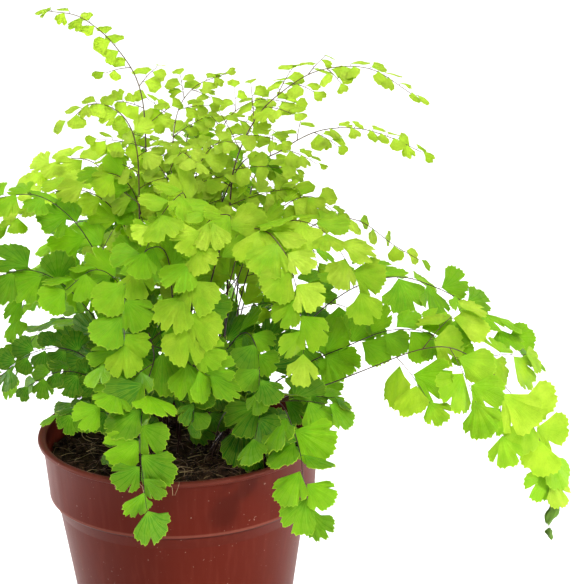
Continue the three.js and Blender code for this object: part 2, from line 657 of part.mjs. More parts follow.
// The soil fills the pot, with a plain hole for each stem
function soilSolid(plans) {
  const inside = potInside();
  const slope = (COLLAR_TOP_RADIUS - COLLAR_BOTTOM_RADIUS) / (COLLAR_DEPTH - LIP_HEIGHT);
  const topHeight = SOIL_HEIGHT - SOIL_SWELL;
  const collarBottom = POT_HEIGHT - COLLAR_DEPTH;
  const edge = COLLAR_BOTTOM_RADIUS - WALL - GAP + slope * (topHeight - collarBottom);
  const profile = [[0, WALL + GAP]];
  for (const [radius, height] of inside.slice(1).reverse()) {
    profile.push([radius - 1.5 * GAP, height + GAP]);
  }
  for (let i = 0; i < SOIL_RINGS; i += 1) {
    profile.push([(edge - GAP) * (1 - i / SOIL_RINGS), topHeight]);
  }
  profile.push([0, topHeight]);
  const geometry = turned(profile, SOIL_SIDES);
  const position = geometry.attributes.position;
  for (let i = 0; i < position.count; i += 1) {
    if (position.getZ(i) > topHeight - 0.01) {
      position.setZ(i, soilTop(position.getX(i), position.getY(i), edge));
    }
  }
  let solid = solidOf(geometry);
  for (const plan of plans) {
    solid = solid.subtract(stemHole(plan.line));
  }
  return solid;
}

// A three-sided hole along the foot of a stem
function stemHole(line) {
  const foot = line.point(0);
  const ahead = line.direction(0);
  const length = 3 * HOLE_DEPTH;
  const hole = new THREE.CylinderGeometry(HOLE_RADIUS, HOLE_RADIUS, length, 3);
  hole.translate(0, length / 2 - GAP, 0);
  hole.applyQuaternion(new THREE.Quaternion().setFromUnitVectors(vector(0, 1, 0), ahead));
  hole.translate(foot.x, foot.y, foot.z);
  return solidOf(hole);
}

function meshOf(name, solid, material) {
  const mesh = new THREE.Mesh(geometryOf(solid), material);
  mesh.name = name;
  return mesh;
}

function potMaterial() {
  return new THREE.MeshStandardMaterial({ color: 0x8c4a3e, roughness: 0.42, metalness: 0 });
}

function soilMaterial() {
  return new THREE.MeshStandardMaterial({ color: 0x2b1b12, roughness: 0.95, metalness: 0 });
}

// Young fronds are yellow-green and old ones dark green
function frondMaterial(age) {
  const color = new THREE.Color(0xb4dc2e).lerp(new THREE.Color(0x2f7a10), age);
  return new THREE.MeshStandardMaterial({ color, roughness: 0.5, metalness: 0 });
}

function fern() {
  const group = new THREE.Group();
  const plans = [...FRONDS, ...BACK_FRONDS.map(backFrond)].map(frondPlan);
  const pot = potSolid();
  const soil = soilSolid(plans);
  group.add(meshOf('pot', pot, potMaterial()));
  group.add(meshOf('soil', soil, soilMaterial()));
  const standing = new Standing();
  standing.add(pot);
  standing.add(soil);
  const stems = plans.map(stemOf);
  stems.forEach((stem) => stem.solids.forEach((solid) => standing.add(solid)));
  plans.forEach((plan, index) => {
    const solid = frondSolid(plan, stems[index], standing);
    group.add(meshOf(`frond_${plan.name}`, solid, frondMaterial(plan.age)));
  });
  return group;
}

export default fern();
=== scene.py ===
import json
import math

import bpy
from mathutils import Matrix, Vector, noise


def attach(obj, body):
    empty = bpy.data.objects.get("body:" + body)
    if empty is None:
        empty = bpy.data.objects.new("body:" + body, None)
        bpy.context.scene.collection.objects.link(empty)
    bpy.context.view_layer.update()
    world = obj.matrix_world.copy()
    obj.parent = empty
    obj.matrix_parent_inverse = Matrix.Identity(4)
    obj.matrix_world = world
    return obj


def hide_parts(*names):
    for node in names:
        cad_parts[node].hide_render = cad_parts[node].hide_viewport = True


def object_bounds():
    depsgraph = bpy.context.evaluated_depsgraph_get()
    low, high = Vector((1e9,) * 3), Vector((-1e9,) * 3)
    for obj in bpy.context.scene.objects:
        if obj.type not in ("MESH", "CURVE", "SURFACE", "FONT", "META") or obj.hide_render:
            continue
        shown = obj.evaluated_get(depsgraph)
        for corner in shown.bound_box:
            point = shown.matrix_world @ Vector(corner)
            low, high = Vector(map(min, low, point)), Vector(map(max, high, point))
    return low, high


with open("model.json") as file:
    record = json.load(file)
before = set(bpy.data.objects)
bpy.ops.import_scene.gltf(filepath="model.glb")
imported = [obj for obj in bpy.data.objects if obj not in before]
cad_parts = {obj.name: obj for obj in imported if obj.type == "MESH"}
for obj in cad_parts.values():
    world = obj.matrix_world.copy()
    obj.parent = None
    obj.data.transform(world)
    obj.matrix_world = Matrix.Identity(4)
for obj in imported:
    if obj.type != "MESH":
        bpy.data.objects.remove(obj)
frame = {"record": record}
cad_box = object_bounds()

# The material slot that the part's record gives each solid
SLOTS = {solid["node"]: solid["material_slot"] for solid in frame["record"]["subparts"]}

# Lengths in the tables and in the frond rules are in millimetres
MM = 0.001

# The pot
POT_HEIGHT = 105
LIP_RADIUS = 60
LIP_HEIGHT = 2.4
COLLAR_TOP_RADIUS = 57.9
COLLAR_BOTTOM_RADIUS = 55.9
COLLAR_BOTTOM = 80
SHOULDER_BOTTOM = 73.5
BODY_TOP_RADIUS = 52.2
BASE_RADIUS = 41
WALL = 1.4
POT_SIDES = 128
DRAIN_HOLES = 6
DRAIN_HOLE_RADIUS = 4
DRAIN_RING_RADIUS = 29
MOULD_LINE_BEARING = 150

# The soil
SOIL_HEIGHT = 97
SOIL_SWELL = 3
SOIL_EDGE = 55.4
SOIL_GAP = 0.45
SOIL_SIDES = 96
SOIL_RINGS = 26
HOLE_DEPTH = 4
CRUMBS = 2200
CRUMB_FORMS = 5
FIBRE_POINTS = 12

# Groups of coir fibres: how pale they are, and their first number and the next group's
FIBRE_GROUPS = [(0.0, 0, 170), (0.3, 170, 212), (0.8, 212, 230)]

# Fibres that hang over the lip: how many in each pale group, and their route out from and over it
LIP_FIBRES = 4
LIP_FIBRE_ROUTE = [(-4.4, -6.8), (-2.8, -2.5), (-1.4, 0.3), (0.1, 0.1), (0.35, -1.6)]
LIP_FIBRE_RADII = [0.09] * 6

# The way up, and how far leaflets turn upwards, outwards and at random to the light
UP = Vector((0, 0, 1))
LIGHT_ABOVE = 0.62
LIGHT_OUTWARD = 0.62
LIGHT_WOBBLE = 0.6

# Stems: the share taken off their bare part, how leaves shorten towards the tip, heights and radii
BARE_TRIM = 0.04
STEM_TAPER = 0.15
STEM_RADIUS = 0.4
TALL_STEMS = (200, 260)
TALL_STEM_EXTRA = 0.14
STEM_TIP_RADIUS = 0.13
TWIG_RADII = (0.22, 0.11)
STALK_RADII = [0.11, 0.1, 0.08]

# Side sprigs: angles are in degrees, and gaps are shares of a leaflet's length
SPRIG_ANGLE = 58
SPRIG_CLOSING = 12
SPRIG_SWAY = 14
SPRIG_FALL = 0.18
SPRIG_GAP = 0.72
SPRIG_SHORTENING = 0.7
SPRIG_BARE = 0.3
SPRIG_LEAFLET_GAP = 0.42
SPRIG_TAPER = 0.25
SHORTEST_SPRIG = 1.1
LAST_SPRIG_AT = 0.97

# Leaflets along a stem: angles are in degrees, and large ones hang where the stem falls
LEAF_GROWTH = 1.15
LARGE_LEAFLET = 8.5
LEAFLET_GAP = 0.43
LEAFLET_TAPER = 0.22
LARGE_BUNCHING = 0.2
SMALL_BUNCHING = 1.3
END_SPACE = 0.25
LARGE_ANGLE = 52
SMALL_ANGLE = 58
LEAFLET_CLOSING = 8
LEAFLET_SWAY = 16
LEAFLET_HANG = 0.15
STEM_FALLS = (0.1, 0.6)
LEAST_DIP = 6
DIP_RANGE = 26
HANGING_LIFT = 32
LARGE_ROLL = 50
HANGING_ROLL = 40
SMALL_ROLL = 95
LEAST_SIZE = 0.8
SIZE_RANGE = 0.36

# Where leaflets lie flat, and where their colour has painted light and painted shade: paler high up where
# the light falls, darker low inside the plant where shade falls, with heights and distances in
# millimetres
BLADE_LIFT = 0.9
FLAT_HEIGHTS = (165, 225)
FLAT_ABOVE = 0.7
PALE_HEIGHTS = (190, 245)
PAINTED_LIGHT_ABOVE = 0.4
SHADED_HEIGHTS = (165, 125)
SHADED_REACH = (62, 34)
PAINTED_SHADE_INSIDE = 0.5
OUTER_MARGIN = 1.5

# The form of a leaflet: shares of its length, or of a lobe's width
STALK_SHARE = 0.08
BLADE_SHARE = 0.016
LEAFLET_CUP = 0.16
LEAFLET_FALL = 0.12
LEAFLET_WAVE = 0.014
CLEFT_WIDTH = 0.17
INNER_RING = 0.58
MARGIN_ROUNDING = 0.33
LOBE_ROUNDING = 0.04
TOOTH = 0.024

# How many forms there are, and how many leaflets at the end of the main arch have withered
LARGE_FORMS = 9
SMALL_FORMS = 6
WITHERED_LEAFLETS = 2

# The veins of a leaflet: how many fan out, and from which share of its length on
VEINS = [(7, 0.02), (14, 0.3), (28, 0.6)]

# Each frond: name, age, leaflet length, bare share, sprig length, looseness, bearing and its route
FRONDS = [
    ("tall_left", 0.12, 7, 0.62, 22, 1.5, -70,
     [(-9, 15), (-10, 16, 150), (-11, 15, 210), (-12, 13, 246), (-21, 9, 266), (-34, 5, 279),
      (-47, 0, 283)]),
    ("tall_left_low", 0.14, 8, 0.62, 17, 1.1, -110,
     [(-13, 8), (-13, 5, 150), (-14, 3, 190), (-14, 4, 224), (-19, 0, 240), (-30, -4, 246),
      (-40, -8, 240)]),
    ("tall_middle", 0.05, 7, 0.62, 26, 1, -60,
     [(-7, 20), (-5, 22, 150), (-2, 24, 200), (1, 24, 232), (9, 22, 246), (22, 20, 252)]),
    ("tall_right", 0.14, 7.5, 0.44, 30, 1.3, -80,
     [(14, 10), (20, 8, 150), (23, 10, 200), (26, 10, 218), (34, 9, 235), (44, 7, 246), (60, 4, 256),
      (80, -3, 258), (98, -10, 248)]),
    ("tall_right_low", 0.12, 7, 0.5, 22, 1.3, -70,
     [(18, 22), (25, 28, 160), (33, 38, 204), (45, 43, 214), (60, 46, 221), (76, 46, 222),
      (90, 46, 218), (104, 46, 211)]),
    ("wispy_right", 0.15, 8, 0.52, 0, 1.8, -60,
     [(19, 14), (24, 18, 140), (36, 24, 174), (52, 28, 182), (66, 30, 187), (78, 30, 185),
      (91, 30, 175), (102, 30, 168)]),
    ("upper_middle", 0.18, 8, 0.55, 22, 1, -90,
     [(4, 14), (5, 12, 150), (6, 12, 190), (10, 10, 214), (18, 6, 226), (28, 0, 228)]),
    ("upper_inner", 0.16, 8, 0.55, 20, 1, -100,
     [(-2, 10), (-3, 8, 150), (-4, 8, 190), (-2, 6, 212), (4, 0, 224), (10, -8, 222)]),
    ("upper_back", 0.1, 7, 0.58, 24, 1, -70,
     [(6, 30), (13, 31, 160), (16, 40, 200), (20, 46, 224), (34, 50, 234), (50, 52, 232)]),
    ("upper_right", 0.18, 9, 0.5, 18, 1, -80,
     [(16, 4), (24, 2, 150), (34, 2, 184), (44, 0, 200), (56, -4, 206), (66, -8, 200)]),
    ("arch_high", 0.5, 14, 0.36, 20, 1, -80,
     [(20, 8), (34, 8, 125), (51, 8, 145), (64, 8, 157), (78, 8, 165), (93, 6, 168), (107, 4, 164),
      (120, 2, 157), (133, 0, 146), (144, 0, 134)]),
    ("arch_main", 0.28, 15.5, 0.52, 27, 0.92, -90,
     [(15, -6), (28, -10, 112), (46, -14, 124), (62, -20, 131), (80, -28, 141), (97, -35, 150),
      (110, -38, 152), (122, -40, 146), (133, -41, 135), (143, -42, 120), (149, -42, 104),
      (151, -42, 86)]),
    ("arch_middle", 0.5, 13, 0.42, 18, 1, -80,
     [(21, 2), (32, 4, 116), (52, 0, 132), (70, -8, 143), (86, -16, 152), (100, -20, 153),
      (112, -23, 148)]),
    ("front_left", 0.32, 15, 0.5, 0, 1, -90,
     [(5, -4), (10, -8, 150), (20, -20, 192), (24, -25, 204), (17, -34, 206), (11, -43, 199),
      (8, -48, 188), (7, -52, 176), (8, -55, 164), (10, -57, 152)]),
    ("front_right", 0.18, 15, 0.5, 0, 1, -80,
     [(10, -4), (18, -6, 150), (28, -12, 190), (37, -28, 199), (45, -41, 194), (49, -49, 184),
      (51, -53, 172), (52, -56, 158)]),
    ("front_drape", 0.6, 15.5, 0.24, 31, 0.84, -95,
     [(-6, -6), (-9, -12, 135), (-10, -28, 157), (-7, -45, 153), (-9, -56, 147), (-11, -66, 138),
      (-12, -73, 126), (-11, -77, 114), (-10, -78.5, 103)]),
    ("right_drape", 0.62, 16, 0.3, 24, 0.86, -70,
     [(12, -10), (20, -14, 112), (32, -24, 128), (42, -38, 130), (47, -50, 124), (50, -60, 116),
      (51, -66, 108), (54, -70, 97)]),
    ("low_right", 0.8, 11.5, 0.3, 20, 1, -60,
     [(10, -8), (17, -10, 106), (27, -13, 115), (38, -22, 123), (50, -31, 130), (63, -36, 131)]),
    ("centre_left", 0.42, 15, 0.52, 0, 1, -100,
     [(0, 0), (-1, -4, 150), (-2, -14, 184), (-8, -26, 192), (-15, -36, 186), (-18, -44, 174),
      (-18, -49, 160)]),
    ("centre_middle", 0.28, 15, 0.52, 0, 1, -90,
     [(4, 2), (6, 2, 150), (6, -4, 194), (6, -16, 210), (4, -28, 214), (-3, -38, 208), (-9, -44, 196)]),
    ("centre_right", 0.16, 14.5, 0.52, 0, 1, -70,
     [(12, 0), (20, 0, 150), (32, -5, 187), (44, -12, 198), (58, -20, 198), (68, -26, 188),
      (74, -30, 174)]),
    ("centre_low", 0.64, 12, 0.3, 26, 1, -90,
     [(6, -2), (14, -8, 130), (24, -18, 150), (30, -28, 156), (34, -38, 150), (34, -45, 138)]),
    ("centre_low_left", 0.7, 10.5, 0.26, 22, 1, -100,
     [(-2, -8), (2, -12, 120), (6, -22, 140), (8, -34, 146), (8, -44, 140), (8, -50, 128)]),
    ("low_left", 0.88, 10, 0.35, 17, 1, -110,
     [(-12, -4), (-18, -4, 112), (-28, -8, 130), (-39, -10, 142), (-50, -12, 146), (-62, -14, 143),
      (-74, -16, 134)]),
    ("low_left_front", 0.85, 9, 0.4, 14, 1, -100,
     [(-11, -8), (-17, -12, 112), (-27, -20, 130), (-38, -27, 140), (-48, -31, 142), (-58, -34, 138)]),
    ("rim_left", 0.6, 9.5, 0.3, 16, 1, -110,
     [(-10, -10), (-15, -15, 106), (-24, -21, 118), (-34, -27, 124), (-46, -32, 124)]),
    ("middle_left", 0.58, 16, 0.45, 20, 1, -110,
     [(-16, 2), (-20, 0, 120), (-28, -4, 146), (-36, -10, 162), (-46, -17, 176), (-58, -23, 183),
      (-72, -27, 181)]),
    ("upper_left", 0.55, 14, 0.5, 20, 1, -110,
     [(-14, 4), (-18, 4, 130), (-26, 1, 164), (-33, -4, 186), (-42, -10, 202), (-54, -16, 212),
      (-70, -20, 212)]),
    ("pale_left", 0.08, 12, 0.5, 20, 1, -100,
     [(-12, 14), (-14, 16, 150), (-19, 22, 188), (-26, 30, 204), (-36, 37, 212), (-48, 40, 212),
      (-60, 41, 205)]),
    ("pale_left_low", 0.2, 12, 0.5, 18, 1, -110,
     [(-16, 10), (-16, 11, 150), (-19, 12, 184), (-28, 14, 200), (-42, 15, 206), (-56, 14, 202),
      (-68, 12, 192)]),
    ("inner_left", 0.52, 14, 0.45, 16, 1, -100,
     [(-8, 2), (-12, 0, 130), (-18, -6, 160), (-24, -14, 176), (-32, -22, 182), (-42, -28, 176)]),
    ("inner_left_high", 0.45, 12, 0.52, 18, 1, -100,
     [(-9, 8), (-10, 8, 150), (-12, 8, 184), (-16, 6, 206), (-24, 0, 216), (-34, -6, 214)]),
]

# Each frond of the far side: bearing, spread, height, fall of its tip, leaflet and sprig length
BACK_FRONDS = [
    (12, 66, 150, 24, 13, 0), (38, 80, 176, 34, 13, 18), (64, 72, 196, 30, 9, 18),
    (90, 86, 178, 40, 13, 18), (114, 74, 200, 28, 9, 18), (138, 84, 180, 36, 13, 18),
    (164, 74, 168, 26, 13, 18), (28, 48, 214, 14, 9, 18), (76, 50, 222, 16, 9, 18),
    (126, 48, 218, 14, 9, 18), (52, 92, 140, 44, 13, 0), (102, 96, 136, 46, 13, 0),
    (150, 88, 138, 30, 13, 0),
]
CROWN = Vector((0, 18, 0))
BACK_SWAY = 8
BACK_BARE = 0.45

# Young sprouts between the fronds: where each starts in the soil, and its tip
SPROUTS = [
    ((14, -16), (36, -12, 134)), ((17, -12), (42, -10, 130)), ((12, -20), (26, -30, 128)),
    ((-6, -18), (-16, -34, 122)), ((20, 30), (34, 46, 138)), ((-14, 32), (-30, 48, 134)),
]
SPROUT_LEAFLET = 3.6

# The camera, in metres and radians
CAMERA_PLACE = (0.0478, -0.86385, 0.44006)
CAMERA_PITCH = 0.309
CAMERA_ROLL = -0.0186
SENSOR_WIDTH = 36
FOCAL_PIXELS = 2200
PICTURE_PIXELS = 584

# The soft lights: name, place, what it is aimed at, width in metres and power in watts
SOFT_LIGHTS = [
    ("front", (0.1, -1.05, 1.1), (0.03, 0, 0.16), 0.45, 13),
    ("left", (-0.75, 0.35, 0.2), (0.03, 0, 0.16), 0.5, 12),
    ("right", (0.75, 0.35, 0.12), (0.03, 0, 0.07), 0.3, 2.5),
]


# Small sums

def chance(seed, step):
    """A repeatable number from 0 to 1."""
    value = math.sin(seed * 12.9898 + step * 78.233) * 43758.5453
    return value - math.floor(value)


def sway(width, seed, step):
    """A repeatable number, at most half the width from 0."""
    return width * (chance(seed, step) - 0.5)


def around(radius, turn):
    """Where a turn in radians leads at a radius from the middle."""
    return radius * math.cos(turn), radius * math.sin(turn)


def level_to(bearing):
    """The level direction of a bearing in degrees."""
    return Vector((*around(1, math.radians(bearing)), 0))


def smooth(low, high, value):
    """Rises smoothly from 0 at low to 1 at high."""
    share = min(1.0, max(0.0, (value - low) / (high - low)))
    return share * share * (3 - 2 * share)


# Routes of stems

class Line:
    """A line of straight stretches that gives its point and direction at a length along it."""

    def __init__(self, points):
        self.points = points
        self.at = [0.0]
        for before, after in zip(points, points[1:]):
            self.at.append(self.at[-1] + (after - before).length)
        self.length = self.at[-1]

    def point(self, along):
        i = 0
        while i < len(self.points) - 2 and self.at[i + 1] < along:
            i += 1
        share = (along - self.at[i]) / (self.at[i + 1] - self.at[i])
        return self.points[i].lerp(self.points[i + 1], share)

    def direction(self, along):
        reach = 1.5
        ahead = self.point(min(along + reach, self.length))
        behind = self.point(max(along - reach, 0))
        return (ahead - behind).normalized()


def stem_line(route):
    """The smooth route of a stem, through every point of its row."""
    root_x, root_y = route[0]
    points = [Vector((root_x, root_y, SOIL_HEIGHT - HOLE_DEPTH))]
    points += [Vector(place) for place in route[1:]]
    points = [2 * points[0] - points[1]] + points + [2 * points[-1] - points[-2]]
    steps = 8
    smoothed = []
    for a, b, c, d in zip(points, points[1:], points[2:], points[3:]):
        for k in range(steps):
            t = k / steps
            curved = (2 * a - 5 * b + 4 * c - d) * t * t + (3 * b - a - 3 * c + d) * t ** 3
            smoothed.append(0.5 * (2 * b + (c - a) * t + curved))
    smoothed.append(points[-2])
    return Line(smoothed)


def sprig_line(base, direction, length):
    """A side sprig leaves the stem at an angle and droops."""
    points = []
    steps = 6
    for i in range(steps + 1):
        along = length * i / steps
        points.append(base + direction * along - UP * (SPRIG_FALL * along * along / length))
    return Line(points)


# Where every leaflet sits

def light_from(facing, seed):
    """The way that the leaflets of a frond or sprig turn to the light."""
    wobble = Vector((chance(seed, 1) - 0.5, chance(seed, 2) - 0.5, chance(seed, 3) - 0.5))
    return (UP * LIGHT_ABOVE + facing * LIGHT_OUTWARD + wobble * LIGHT_WOBBLE).normalized()


def frame_on(ahead, light):
    """The upper face's normal and the sideways direction where a line runs ahead."""
    normal = (light - ahead * light.dot(ahead)).normalized()
    return normal, ahead.cross(normal)


def leaflet_at(base, ahead, light, hand, angle, size, seed, step):
    """One leaflet: where its stalk starts, its own directions, its length and a number of its own."""
    large = size > LARGE_LEAFLET
    normal, side = frame_on(ahead, light)
    out = ahead * math.cos(angle) + side * (math.sin(angle) * hand) - UP * LEAFLET_HANG
    out.normalize()
    face = (normal - out * normal.dot(out)).normalized()
    across = out.cross(face)
    hanging = smooth(*STEM_FALLS, -ahead.z) if large else 0
    dip = math.radians(LEAST_DIP + DIP_RANGE * chance(seed, step + 1))
    dip -= math.radians(HANGING_LIFT) * hanging
    freedom = LARGE_ROLL + HANGING_ROLL * hanging if large else SMALL_ROLL
    roll = math.radians(sway(freedom, seed, step + 2))
    direction = (out * math.cos(dip) - face * math.sin(dip)).normalized()
    level = across.cross(direction).normalized()
    normal = (level * math.cos(roll) + across * math.sin(roll)).normalized()
    return {
        "base": base,
        "direction": direction,
        "normal": normal,
        "size": size * (LEAST_SIZE + SIZE_RANGE * chance(seed, step + 3)),
        "own": chance(seed, step + 4),
    }


def leaflets_on(line, start, light, size, shrink, seed, gap):
    """Leaflets in turn on both sides of a line, from start to its end, and one at the end."""
    large = size > LARGE_LEAFLET
    spread = LARGE_ANGLE if large else SMALL_ANGLE
    bunching = LARGE_BUNCHING if large else SMALL_BUNCHING
    leaflets = []
    along = start
    count = 0
    hand = 1 if chance(seed, 0) > 0.5 else -1
    while along < line.length - END_SPACE * size:
        share = (along - start) / max(line.length - start, 1e-6)
        here = size * (1 - shrink * share)
        own_sway = sway(LEAFLET_SWAY, seed, 10 * count + 5)
        angle = math.radians(spread - LEAFLET_CLOSING * share + own_sway)
        ahead = line.direction(along)
        step = 10 * count + 20
        leaflets.append(leaflet_at(line.point(along), ahead, light, hand, angle, here, seed, step))
        along += here * gap * (1 + sway(bunching, seed, 10 * count + 6))
        hand = -hand
        count += 1
    end = line.point(line.length)
    ahead = line.direction(line.length)
    leaflets.append(leaflet_at(end, ahead, light, 1, 0, size * (1 - shrink), seed, 10 * count + 20))
    return leaflets


def frond_plan(row, seed):
    """A frond's stem, side sprigs and leaflets, by its row. Its age is from 0 young to 1 old."""
    name, age, leaf, bare, sprig, loose, face, route = row
    leaf = leaf * LEAF_GROWTH
    line = stem_line(route)
    facing = level_to(face)
    light = light_from(facing, seed)
    start = (bare - BARE_TRIM) * line.length
    leafy = line.length - start
    sprigs = []
    leaflets = []
    along = start
    count = 0
    hand = 1
    while sprig > 0:
        share = (along - start) / leafy
        own_length = 0.8 + 0.4 * chance(seed, 100 + count)
        length = sprig * (1 - share) ** (SPRIG_SHORTENING * loose) * own_length
        here = leaf * (1 - STEM_TAPER * share)
        if share >= LAST_SPRIG_AT or length < SHORTEST_SPRIG * here:
            break
        ahead = line.direction(along)
        normal, side = frame_on(ahead, light)
        angle = math.radians(SPRIG_ANGLE - SPRIG_CLOSING * share + sway(SPRIG_SWAY, seed, 200 + count))
        direction = (ahead * math.cos(angle) + side * (math.sin(angle) * hand)).normalized()
        twig = sprig_line(line.point(along), direction, length)
        twig_seed = seed * 31 + count
        lit = (normal * 0.4 + light_from(facing, twig_seed) * 0.8).normalized()
        gap = SPRIG_LEAFLET_GAP * (0.6 + 0.4 * loose)
        leaflets += leaflets_on(twig, SPRIG_BARE * here, lit, here, SPRIG_TAPER, twig_seed, gap)
        sprigs.append(twig)
        along += here * SPRIG_GAP * loose * (0.85 + 0.3 * chance(seed, 300 + count))
        hand = -hand
        count += 1
    size = leaf * (1 - STEM_TAPER * (along - start) / leafy)
    leaflets += leaflets_on(line, along, light, size, LEAFLET_TAPER, seed * 57, LEAFLET_GAP * loose)
    return {"name": name, "age": age, "line": line, "sprigs": sprigs, "leaflets": leaflets}


def back_frond(bearing, spread, height, fall, leaf, sprig, index):
    """A far-side frond as a row like the others."""
    outward = level_to(bearing)
    aside = Vector((-outward.y, outward.x, 0))
    bend = sway(BACK_SWAY, index, 7)
    rise = height - SOIL_HEIGHT

    def at(out, z, across=0.0):
        return CROWN + outward * out + aside * across + UP * z

    root = at(4 + 0.14 * (230 - height), 0)
    route = [
        (root.x, root.y),
        at(0.2 * spread, SOIL_HEIGHT + 0.55 * rise),
        at(0.45 * spread, SOIL_HEIGHT + 0.88 * rise, bend),
        at(0.68 * spread, height, bend),
        at(0.87 * spread, height - 0.3 * fall, bend),
        at(spread, height - fall, -bend),
    ]
    age = 0.25 + 0.5 * chance(index, 9)
    return (f"back_{index + 1}", age, leaf, BACK_BARE, sprig, 1, bearing, route)


def all_fronds():
    rows = FRONDS + [back_frond(*row, index) for index, row in enumerate(BACK_FRONDS)]
    return [frond_plan(row, index + 1) for index, row in enumerate(rows)]


# Working on pieces

def deselect_all():
    if bpy.context.object and bpy.context.object.mode != "OBJECT":
        bpy.ops.object.mode_set(mode="OBJECT")
    bpy.ops.object.select_all(action="DESELECT")


def pick_only(piece):
    deselect_all()
    piece.select_set(True)
    bpy.context.view_layer.objects.active = piece


def edit(piece):
    pick_only(piece)
    bpy.ops.object.mode_set(mode="EDIT")
    bpy.ops.mesh.select_mode(type="VERT")


def leave_edit():
    bpy.ops.object.mode_set(mode="OBJECT")


def apply_modifiers(piece):
    pick_only(piece)
    for modifier in list(piece.modifiers):
        bpy.ops.object.modifier_apply(modifier=modifier.name)


def settle(piece):
    """Moves a piece's place, turn and scale into its mesh."""
    pick_only(piece)
    bpy.ops.object.transform_apply(location=True, rotation=True, scale=True)


def joined(name, pieces):
    """Several objects as one piece."""
    deselect_all()
    for piece in pieces:
        piece.select_set(True)
    bpy.context.view_layer.objects.active = pieces[0]
    bpy.ops.object.join()
    whole = bpy.context.view_layer.objects.active
    whole.name = name
    whole.data.name = name
    return whole


def copy_of(piece):
    """A copy with its own mesh."""
    copy = piece.copy()
    copy.data = piece.data.copy()
    bpy.context.collection.objects.link(copy)
    return copy


def remove(pieces):
    for piece in pieces:
        bpy.data.objects.remove(piece)


def thicken(sheet, thickness):
    """Gives a sheet its thickness, half of it on each side."""
    wall = sheet.modifiers.new("thickness", "SOLIDIFY")
    wall.thickness = thickness
    wall.offset = 0
    apply_modifiers(sheet)


def smooth_faces(piece, steepest):
    """Smooths a piece's shading over every edge that turns less than that many degrees."""
    pick_only(piece)
    bpy.ops.object.shade_smooth_by_angle(angle=math.radians(steepest))


def mark(piece, name, values):
    """Keeps one number for each vertex of a piece."""
    attribute = piece.data.attributes.new(name, "FLOAT", "POINT")
    attribute.data.foreach_set("value", values)


def mark_all(piece, name, value):
    mark(piece, name, [value] * len(piece.data.vertices))


def cover(piece, material):
    """Gives a piece one material."""
    piece.data.materials.clear()
    piece.data.materials.append(material)


def finish_piece(piece, material, slot, *nodes):
    """Gives a piece its finish, and its place in the part."""
    if material:
        cover(piece, material)
    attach(piece, "root")
    if nodes:
        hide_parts(*nodes)
    return piece


def turned(name, profile, sides):
    """A closed piece walked ring by ring along a profile of radius and height, and shut at both ends."""
    deselect_all()
    first_radius, first_height = profile[0]
    bpy.ops.mesh.primitive_circle_add(
        vertices=sides, radius=first_radius * MM, fill_type="NOTHING", location=(0, 0, first_height * MM)
    )
    piece = bpy.context.object
    edit(piece)
    bpy.ops.mesh.select_all(action="SELECT")
    for (radius, height), (next_radius, next_height) in zip(profile, profile[1:]):
        rise = (next_height - height) * MM
        bpy.ops.mesh.extrude_edges_move(TRANSFORM_OT_translate={"value": (0, 0, rise)})
        if next_radius > 0:
            grow = next_radius / radius
            bpy.ops.transform.resize(value=(grow, grow, 1))
        else:
            bpy.ops.mesh.merge(type="CENTER")
    leave_edit()
    settle(piece)
    close_ring(piece, first_radius * MM, first_height * MM)
    piece.name = name
    return piece


def close_ring(piece, radius, height):
    """Fills the open ring of that radius and height, and points every face outwards."""
    edit(piece)
    bpy.ops.mesh.select_all(action="DESELECT")
    leave_edit()
    near = 1e-5
    for vertex in piece.data.vertices:
        level = abs(vertex.co.z - height) < near
        vertex.select = level and abs(vertex.co.xy.length - radius) < near
    edit(piece)
    bpy.ops.mesh.edge_face_add()
    bpy.ops.mesh.select_all(action="SELECT")
    bpy.ops.mesh.normals_make_consistent(inside=False)
    leave_edit()


# Finishes

class Value:
    """A socket that can be worked with as a number is."""

    def __init__(self, finish, socket):
        self.finish = finish
        self.socket = socket

    def sum_with(self, operation, *others):
        numbers = dict(enumerate((self, *others)))
        node = self.finish.node("ShaderNodeMath", {"operation": operation}, numbers)
        return Value(self.finish, node.outputs[0])

    def __add__(self, other):
        return self.sum_with("ADD", other)

    def __sub__(self, other):
        return self.sum_with("SUBTRACT", other)

    def __rsub__(self, other):
        return (self * -1) + other

    def __mul__(self, other):
        return self.sum_with("MULTIPLY", other)

    __radd__ = __add__
    __rmul__ = __mul__

    def absolute(self):
        return self.sum_with("ABSOLUTE")

    def fraction(self):
        return self.sum_with("FRACT")

    def least(self, other):
        return self.sum_with("MINIMUM", other)

    def most(self, other):
        return self.sum_with("MAXIMUM", other)

    def between(self, low, high):
        """Rises smoothly from 0 at low to 1 at high."""
        settings = {"interpolation_type": "SMOOTHSTEP"}
        sockets = {"Value": self, "From Min": low, "From Max": high}
        node = self.finish.node("ShaderNodeMapRange", settings, sockets)
        return Value(self.finish, node.outputs["Result"])


